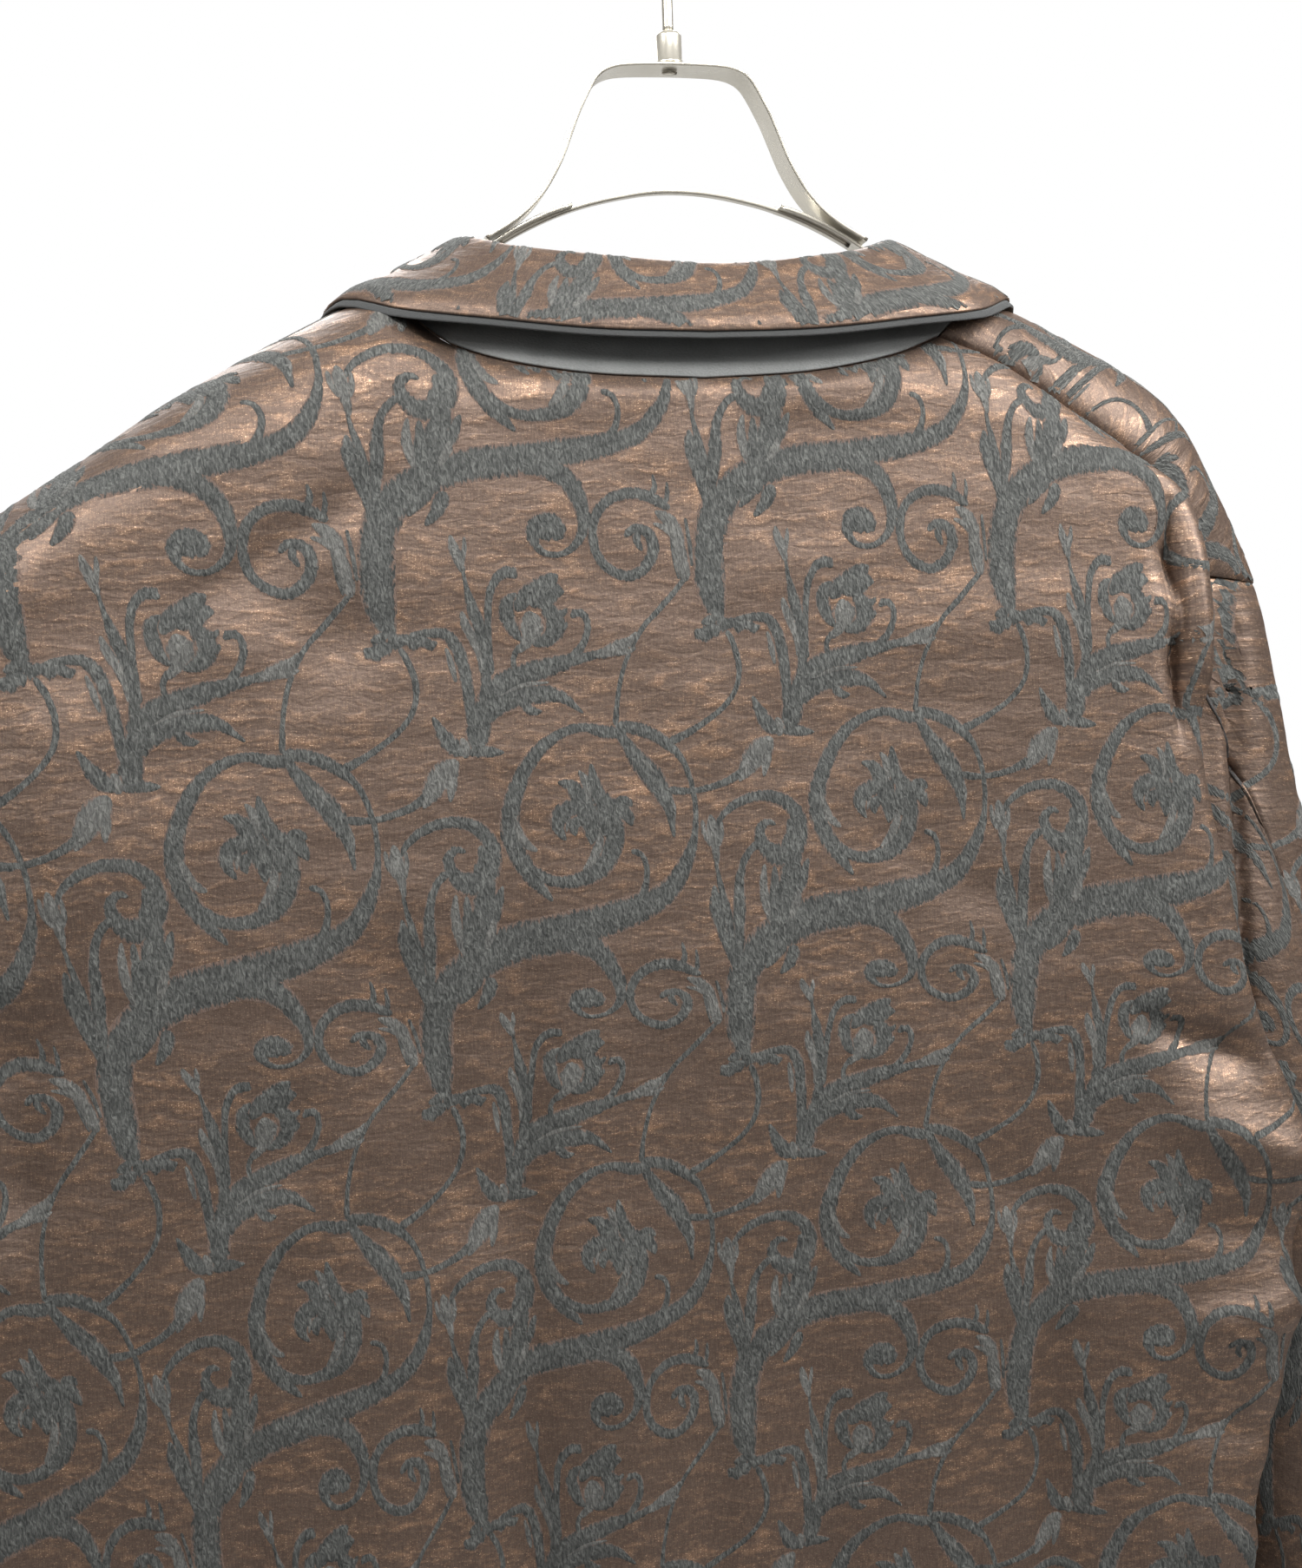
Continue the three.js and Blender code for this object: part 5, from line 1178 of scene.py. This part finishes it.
SLEEVE_WRINKLES = {"left": 61, "right": 77}
SLEEVE_ROWS = np.concatenate([[0, 0.004, 0.009], np.linspace(0, 1, 116)[2:-1], [0.997, 1]])


def sleeve_half(side, back, front):
    """A sleeve's points: columns down from its armhole, going round it from the underarm."""
    table = SLEEVE[side]
    outer_back = back[-1][back[-1][:, 2] > UNDERARM_Z + 0.01]
    outer_front = front[-1][front[-1][:, 2] > UNDERARM_Z + 0.01]
    loop = np.concatenate([back[-1][-len(SIDE_STEPS) - 1:][:1], outer_back[::-1], outer_front[1:]])
    lengths = arc(np.concatenate([loop, loop[:1]]))
    crown = int(np.argmin(np.linalg.norm(loop - ridge_at(side, 1.0), axis=1)))
    from_underarm = np.minimum(lengths[:-1], lengths[-1] - lengths[:-1])
    clear = UNDERARM_CLEAR * np.maximum(0, 1 - from_underarm / UNDERARM_REACH[side])
    near = np.maximum(0, 1 - np.linalg.norm(loop - seam_at(side, 1.0), axis=1) / TUCK_REACH)
    tucked = TUCK_CLEAR * near if side == "right" else 0 * near
    inside = np.sign(loop[:, 1]) * np.minimum(abs(loop[:, 1]), ARMHOLE_TUCK[side])
    start = loop + np.stack([clear, -inside - tucked, 0 * clear], -1)
    place = np.arange(len(loop))
    phi = np.where(place <= crown, math.pi * lengths[:-1] / lengths[crown],
                   math.pi * (1 + (lengths[:-1] - lengths[crown]) / (lengths[-1] - lengths[crown])))

    def ring(z):
        at = {c: read(table, "z", c, z) for c in ("midX", "midY", "halfX", "halfY")}
        angle = phi.reshape(-1, *[1] * (np.ndim(z) - 1))
        return np.stack([at["midX"] - at["halfX"] * np.cos(angle),
                         at["midY"] + at["halfY"] * np.sin(angle)], -1)

    z = mix(start[:, 2:], CUFF_Z[side], SLEEVE_ROWS)
    fade = np.maximum(0, 1 - SLEEVE_ROWS / HEAD_SHARE)[:, None] ** 2
    flat = ring(z) + (start[:, :2] - ring(start[:, 2]))[:, None] * fade
    return folded(side, np.concatenate([flat, z[..., None]], -1))


for side, offset, cut, area in (("left", (40, -20), (0.395, 0.552), 0.127),
                                ("right", (0, 35), (0.368, 0.534), 0.128)):
    points = sleeve_half(side, half_back[side], half_front[side]) * OUTWARD[side]
    widest = points[:, len(SLEEVE_ROWS) // 2]
    round_it = arc(np.concatenate([widest, widest[:1]])) * TURN[side]
    laid = np.stack([round_it[:-1, None] + 0 * points[..., 2], -points[..., 2]], -1)
    panel = Panel("sleeve_" + side + "_cloth", points, laid, -TURN[side], wraps=True)
    panel.girth = round_it[-1]
    crumple(panel, ("top",), 0.8, SLEEVE_WRINKLES[side])
    panel.turn_hem()
    panel.roll_seams(("top",))
    cloth = cloth_object(panel, (copper.material, backing.material))
    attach(cloth, "root")
    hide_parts("sleeve_" + side)
    figure = scroll_object(panel, plain(offset), CELLS, yarns,
                           "sleeve_" + side + "_scrollwork", 2.6)

# ---- lapels -------------------------------------------------------------------------------
# Each lapel is its front turned out along the roll line; it lies on the front with a soft roll
# and a notch below the collar's end.
LAPEL = stations("f width lift", (0, 60, 4.2), (0.16, 84, 5), (0.37, 74, 4.6), (0.66, 46, 3.6),
                 (0.87, 22, 2.6), (1, 7, 2.2))
LAPEL_TOP_Z, LAPEL_FOOT_Z, ROLL_LIFT = -256, {"left": -427, "right": -404}, 1.9
NOTCH_DROP, NOTCH_SHARE = 10, 0.16     # its top edge falls away outward, below the collar's end
LAPEL_FIGURE = {"left": (70, -60), "right": (10, -85)}
LAPEL_CUT = {"left": ((0.084, 0.181), 0.0094), "right": ((0.084, 0.158), 0.0081)}
for side in OUTWARD:
    table = FRONT[side]
    over, down = np.meshgrid(fine_near_ends(24, 0.02), fine_near_ends(50, 0.01), indexing="ij")
    width, lift = (np.interp(down, LAPEL["f"], LAPEL[c]) for c in ("width", "lift"))
    z = mix(LAPEL_TOP_Z, LAPEL_FOOT_Z[side], down)
    z = z - NOTCH_DROP * over * np.clip(1 - down / NOTCH_SHARE, 0, 1)
    x = read(table, "z", "inX", z) + width * over
    y = section(table, share_at(table, x, z), z)[..., 1]
    y = y - ROLL_LIFT - lift * np.sin(math.pi * np.minimum(1, over * 1.4) / 2)
    panel = Panel("lapel_" + side + "_cloth", np.stack([x, y, z], -1) * OUTWARD[side],
                  np.stack([x, -z], -1) * OUTWARD[side][:2], TURN[side])
    cloth = cloth_object(panel, (copper.material, backing.material))
    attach(cloth, "root")
    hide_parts("lapel_" + side)
    figure = scroll_object(panel, plain(LAPEL_FIGURE[side]), CELLS, yarns,
                           "lapel_" + side + "_scrollwork", 2.6)
    cut, area = LAPEL_CUT[side]

# ---- collar -------------------------------------------------------------------------------
# A dark felted under collar stands from the neck seam and folds over; the jacquard top collar
# lies on it, and the under collar shows as a band below the fall and as a thin line at its edge.
COLLAR = stations(
    "s foldX foldY foldZ edgeX edgeY edgeZ",
    (0, 0, 35, -184, 0, 63, -215), (0.2, 38, 34, -182.5, 47, 62, -213.5),
    (0.4, 74, 26, -177.5, 92, 55, -208), (0.55, 93, 12, -169, 125, 45, -203),
    (0.68, 99, -6, -169.5, 149, 14, -193), (0.8, 101, -27, -183, 157, -22, -201),
    (0.9, 103, -43, -208, 157, -50, -228), (1, 104, -52, -240, 139, -59, -262))
COLLAR_END_Z, FOLD_ROUND, TOP_COLLAR_LIFT = -246, 4, WALL + 0.15
NECK_GAP = 1.1                 # the stand starts this far from the neck seam
SETTLED, SETTLED_AT, SETTLED_REACH = 5, -16, 42        # how far the fold has sunk, and where
FOLD_ROW, FOLD_ROWS = 0.5, 0.25        # the fold is halfway up the collar's columns
SHORTER, SHORTER_FROM = 0.35, 44       # the top collar's last rows are drawn back from its edge
COLLAR_ROWS = np.interp(np.linspace(0, 1, 64), np.linspace(0, 1, 12),
                        [0, 0.18, 0.33, 0.41, 0.45, 0.49, 0.53, 0.57, 0.63, 0.74, 0.87, 1])


def unit(vectors):
    """Vectors of the same directions, 1 long."""
    return vectors / np.linalg.norm(vectors, axis=-1, keepdims=True)


def collar_half(back, front):
    """Half of the collar: columns from the neck seam up, over the fold and out to the edge."""
    line = front[0][front[0][:, 2] > COLLAR_END_Z]
    base = np.concatenate([back[:len(NECK_STEPS), 0], line])
    along = arc(base) / arc(base)[-1]
    fold = along_line(COLLAR, "s", "foldX foldY foldZ", along)
    edge = along_line(COLLAR, "s", "edgeX edgeY edgeZ", along)
    rise, out = unit(fold - base), unit(edge - base)
    foot = base + rise * NECK_GAP
    line = np.stack([
        foot, foot + (fold - foot) * 0.35, foot + (fold - foot) * 0.7, fold - out * 0.3 * FOLD_ROUND,
        fold + out * 0.5 * FOLD_ROUND + rise * 0.6 * FOLD_ROUND,
        fold + out * 1.6 * FOLD_ROUND - rise * 0.6 * FOLD_ROUND,
        fold + (edge - fold) * 0.6 + rise * 1.5, edge])
    grid = (len(base), len(COLLAR_ROWS))
    points = spline(np.broadcast_to(line[:, :, None], (len(line), *grid, 3)),
                    np.broadcast_to(COLLAR_ROWS, grid))
    from_edge = arc(points[:, ::-1])[:, ::-1]
    round_edge = arc(edge)
    return points, np.stack([round_edge[:, None] + 0 * from_edge, -from_edge], -1)


felt = Finish("charcoal_felt", Roughness=0.95, Sheen_Weight=0.08, Sheen_Roughness=0.5)
nap_place = felt.node("UVMap", {"uv_map": "grain"})
nap = felt.noise(nap_place, (900, 1300, 1), Detail=3.0)
mottle = felt.noise(nap_place, (70, 30, 1), Detail=2.0)
felt_tone = felt.blend(felt.blend(0.45, nap, mottle), (0.15, 0.154, 0.151), (0.36, 0.366, 0.356))
# painted shade: the felt is painted darker over its last 4 mm, so that it shows as a thin dark line
# round the fall
to_edge = felt.node("Mapping", Vector=nap_place, Scale=(0, -250, 0))
from_edge = felt.node("SeparateXYZ", output="Y", Vector=to_edge)
painted_edge_shade = felt.ramp(from_edge, (0.5, 0.85), (1.0, 0.0))
felt.feed("Base Color", felt.blend(painted_edge_shade, felt_tone, (0.035, 0.036, 0.036)))
felt.feed("Normal", felt.node("Bump", Strength=0.5, Distance=0.0006, Height=nap))

collar_points, collar_laid = joined(*(collar_half(half_back[s], half_front[s]) for s in OUTWARD))
# at the back the fold has settled low, most of all a little to the wearer's right
settled = np.exp(-((collar_points[..., 0] - SETTLED_AT) / SETTLED_REACH) ** 2)
settled = settled * np.exp(-((COLLAR_ROWS - FOLD_ROW) / FOLD_ROWS) ** 2)
collar_points[..., 2] -= SETTLED * settled
under_panel = Panel("under_collar_felt", collar_points, collar_laid, -1)
# the top collar is cut a little shorter, so the felt's edge shows beyond it
last_row = len(COLLAR_ROWS) - 1
shorter = SHORTER * smoothstep(np.arange(1, last_row + 1), SHORTER_FROM, last_row)[:, None]
fall_points = collar_points.copy()
fall_points[:, 1:] += (collar_points[:, :-1] - collar_points[:, 1:]) * shorter
fall_points = fall_points + under_panel.normals * TOP_COLLAR_LIFT
fall_panel = Panel("collar_fall_cloth", fall_points, collar_laid, -1)
under_panel.roll_seams(("foot",), 2.6, 8)
fall_panel.roll_seams(("foot",), 1.8, 6)
under_collar = cloth_object(under_panel, (felt.material, felt.material))
collar_fall = cloth_object(fall_panel, (copper.material, backing.material))
for piece, node, slot in ((under_collar, "under_collar", "collar_felt"),
                          (collar_fall, "collar_fall", "jacquard")):
    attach(piece, "root")
    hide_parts(node)
fall_scroll = scroll_object(fall_panel, plain((0.5, 98.4)), CELLS, yarns,
                            "collar_scrollwork", 2.2)

# ---- buttons ------------------------------------------------------------------------------
# Three dark four-hole buttons, dished inside a rounded rim and sewn on with a thread shank. Each
# comes through a worked buttonhole, which runs from it into the wearer's left front.
horn = Finish("dark_horn", Roughness=0.32, Coat_Weight=0.25, Coat_Roughness=0.2)
horn_place = horn.node("TexCoord", output="Object")
streaks = horn.noise(horn_place, (260, 90, 900), Detail=3.0, Distortion=1.2)
horn.feed("Base Color", horn.ramp(streaks, (0.3, (0.012, 0.009, 0.008)), (0.55, (0.03, 0.023, 0.019)),
                                  (0.75, (0.075, 0.055, 0.043))))
horn.feed("Normal", horn.node("Bump", Strength=0.1, Distance=0.0002, Height=streaks))
silk = Finish("dark_silk_thread", Roughness=0.55, Sheen_Weight=0.3)
silk_place = silk.node("TexCoord", output="Object")
plies = silk.noise(silk_place, (3200, 1500, 1500), Detail=2.0)
silk.feed("Base Color", silk.blend(plies, (0.02, 0.019, 0.018), (0.11, 0.095, 0.08)))
silk.feed("Normal", silk.node("Bump", Strength=0.6, Distance=0.0004, Height=plies))

HOLE, HOLE_AT = 0.95, 1.75     # radius of a thread hole, and how far it is from the middle each way
FACE_RADIUS, FACE_HEIGHTS = 6, (2.05, 2.25)    # the dished face, at its middle and its edge
# the rim's section from the face's edge over and under: radius and height
RIM = ((6, 2.25), (6.5, 2.4), (7.1, 2.95), (7.6, 3.2), (8.5, 3.25), (9.3, 2.95), (9.85, 2.3),
       (10, 1.6), (9.8, 0.8), (9.1, 0.2), (8.2, 0), (6, 0))
RIM_SIDES, HOLE_SIDES = 48, 16
EVEN_RINGS, EVEN_SIDES = (3.6, 4.9), 24        # points that keep the face's triangles even
JOIN = 0.12                    # points nearer than this are one


def ring_of(radius, count, middle=(0, 0)):
    """Points evenly round a circle."""
    angle = np.arange(count) * 2 * math.pi / count
    return [(middle[0] + radius * math.cos(a), middle[1] + radius * math.sin(a)) for a in angle]


def face_height(radius):
    return mix(*FACE_HEIGHTS, min(1, radius / FACE_RADIUS))


def button_mesh(name):
    """A button lying in x z, its face towards -y and its back at y = 0 (mm)."""
    spots = [(a * HOLE_AT, b * HOLE_AT) for a in (-1, 1) for b in (-1, 1)]
    loops = [ring_of(FACE_RADIUS, RIM_SIDES)] + [ring_of(HOLE, HOLE_SIDES, spot) for spot in spots]
    flat = [Vector(p) for loop in loops for p in loop]
    edges, base = [], 0
    for loop in loops:
        edges += [(base + i, base + (i + 1) % len(loop)) for i in range(len(loop))]
        base += len(loop)
    flat += [Vector(p) for radius in EVEN_RINGS for p in ring_of(radius, EVEN_SIDES)]
    flat, _, cells, *_ = delaunay_2d_cdt(flat, edges, [], 1, 1e-5)

    def in_hole(cell):
        middle = sum((flat[i] for i in cell), Vector((0, 0))) / 3
        return any((middle - Vector(spot)).length <= HOLE for spot in spots)

    cells = [cell for cell in cells if not in_hole(cell)]
    made = bmesh.new()
    for height, turn in ((face_height, 1), (lambda radius: 0, -1)):
        put = [made.verts.new((p.x, -height(p.length), p.y)) for p in flat]
        for cell in cells:
            made.faces.new([put[i] for i in cell][::turn])
    rims = [[(r, h, (0, 0), RIM_SIDES) for r, h in RIM]]
    rims += [[(HOLE, h, spot, HOLE_SIDES) for h in (face_height(math.hypot(*spot)), 0)]
             for spot in spots]
    for rim in rims:
        rings = [[made.verts.new((x, -h, z)) for x, z in ring_of(r, sides, spot)]
                 for r, h, spot, sides in rim]
        for near, far in zip(rings, rings[1:]):
            for i in range(len(near)):
                after = (i + 1) % len(near)
                made.faces.new((near[i], near[after], far[after], far[i]))
    bmesh.ops.remove_doubles(made, verts=made.verts, dist=JOIN)
    bmesh.ops.recalc_face_normals(made, faces=made.faces)
    bmesh.ops.scale(made, vec=(MM, MM, MM), verts=made.verts)
    mesh = bpy.data.meshes.new(name)
    made.to_mesh(mesh)
    made.free()
    mesh.polygons.foreach_set("use_smooth", [True] * len(mesh.polygons))
    mesh.set_sharp_from_angle(angle=math.radians(50))
    mesh.materials.append(horn.material)
    return mesh


THREAD_SIDES, ASIDE = 6, (0.31, 0.2, 0.93)     # no thread runs along this direction


def thread_mesh(name, lines, radius):
    """Threads along lines of points (mm), joined in one mesh."""
    points, faces = [], []
    turn = np.linspace(0, 2 * math.pi, THREAD_SIDES, endpoint=False)[:, None]
    for line in lines:
        line = np.array(line, float)
        along = unit(np.gradient(line, axis=0))
        across = unit(np.cross(along, ASIDE))
        other = np.cross(along, across)
        out = across[:, None] * np.cos(turn) + other[:, None] * np.sin(turn)
        faces += tube_faces(len(line), THREAD_SIDES, len(points))
        points += (line[:, None] + radius * out).reshape(-1, 3).tolist()
    mesh = bpy.data.meshes.new(name)
    mesh.from_pydata([[c * MM for c in p] for p in points], [], faces)
    mesh.polygons.foreach_set("use_smooth", [True] * len(faces))
    mesh.materials.append(silk.material)
    return mesh


def placed(name, mesh, where):
    """A mesh moved to its place on the jacket, riding with it."""
    mesh.transform(Matrix.Translation(where))
    thing = bpy.data.objects.new(name, mesh)
    bpy.context.scene.collection.objects.link(thing)
    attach(thing, "root")
    return thing


IN_FRONT = -200                # well clear of the jacket
left_front = front_panel["left"]
face = left_front.points + left_front.normals * WALL / 2
face_cells = grid_cells(np.arange(face[..., 0].size).reshape(face.shape[:2])).reshape(-1, 4)
left_face = BVHTree.FromPolygons([Vector(p) for p in face.reshape(-1, 3).tolist()],
                                 face_cells.tolist())


def on_front(x, z):
    """How far forward the wearer's left front's outer face is (its y, in mm)."""
    return left_face.ray_cast(Vector((x, IN_FRONT, z)), Vector((0, 1, 0)))[0].y


SHANK, THREAD = 0.8, 0.36      # the shank's length, and a thread's radius
BAR_BASE, BAR_ARCH = 2.0, 0.75         # two pairs of threads arch over the face, side by side
COIL_RADIUS, COIL_TURN = 1.5, 18       # one more winds round by this many radians, behind the button
COIL_START, COIL_LENGTH = 0.1, 0.85
HOLE_START, HOLE_LENGTH, STITCH = -2.5, 23, 1.5
PURL_PITCH, PURL_RADIUS = 0.62, 0.3
# one purl stitch: distances out from the cut, and heights above the cloth
PURL = ((0.25, -0.1), (0.4, 0.35), (0.9, 0.42), (STITCH, 0.3), (STITCH + 0.2, -0.1))
for number in (1, 2, 3):
    low, high = (np.array(corner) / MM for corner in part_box("button_" + str(number)))
    x, z = (low[0] + high[0]) / 2, (low[2] + high[2]) / 2
    y = on_front(x, z) - SHANK
    where = (x * MM, y * MM, z * MM)
    button = placed("button_" + str(number) + "_sewn", button_mesh("button_" + str(number)), where)
    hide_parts("button_" + str(number))
    arch = np.linspace(0, math.pi, 9)
    bars = [[(HOLE_AT * math.cos(a), -BAR_BASE - BAR_ARCH * math.sin(a), row) for a in arch]
            for row in (-HOLE_AT - THREAD, -HOLE_AT + THREAD, HOLE_AT - THREAD, HOLE_AT + THREAD)]
    coil = [(COIL_RADIUS * math.cos(a), COIL_START + COIL_LENGTH * a / COIL_TURN,
             COIL_RADIUS * math.sin(a)) for a in np.linspace(0, COIL_TURN, 60)]
    placed("button_" + str(number) + "_thread",
           thread_mesh("button_thread", bars + [coil], THREAD), where)
    # the buttonhole's worked edge: close purl stitches all round a straight cut
    stitches = []
    for step in np.arange(0, HOLE_LENGTH, PURL_PITCH):
        for way in (-1, 1):
            sx = x + HOLE_START + step
            stitches.append([(sx, on_front(sx, z + way * d) - lift, z + way * d) for d, lift in PURL])
    placed("buttonhole_" + str(number), thread_mesh("buttonhole", stitches, PURL_RADIUS), (0, 0, 0))

low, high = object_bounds()
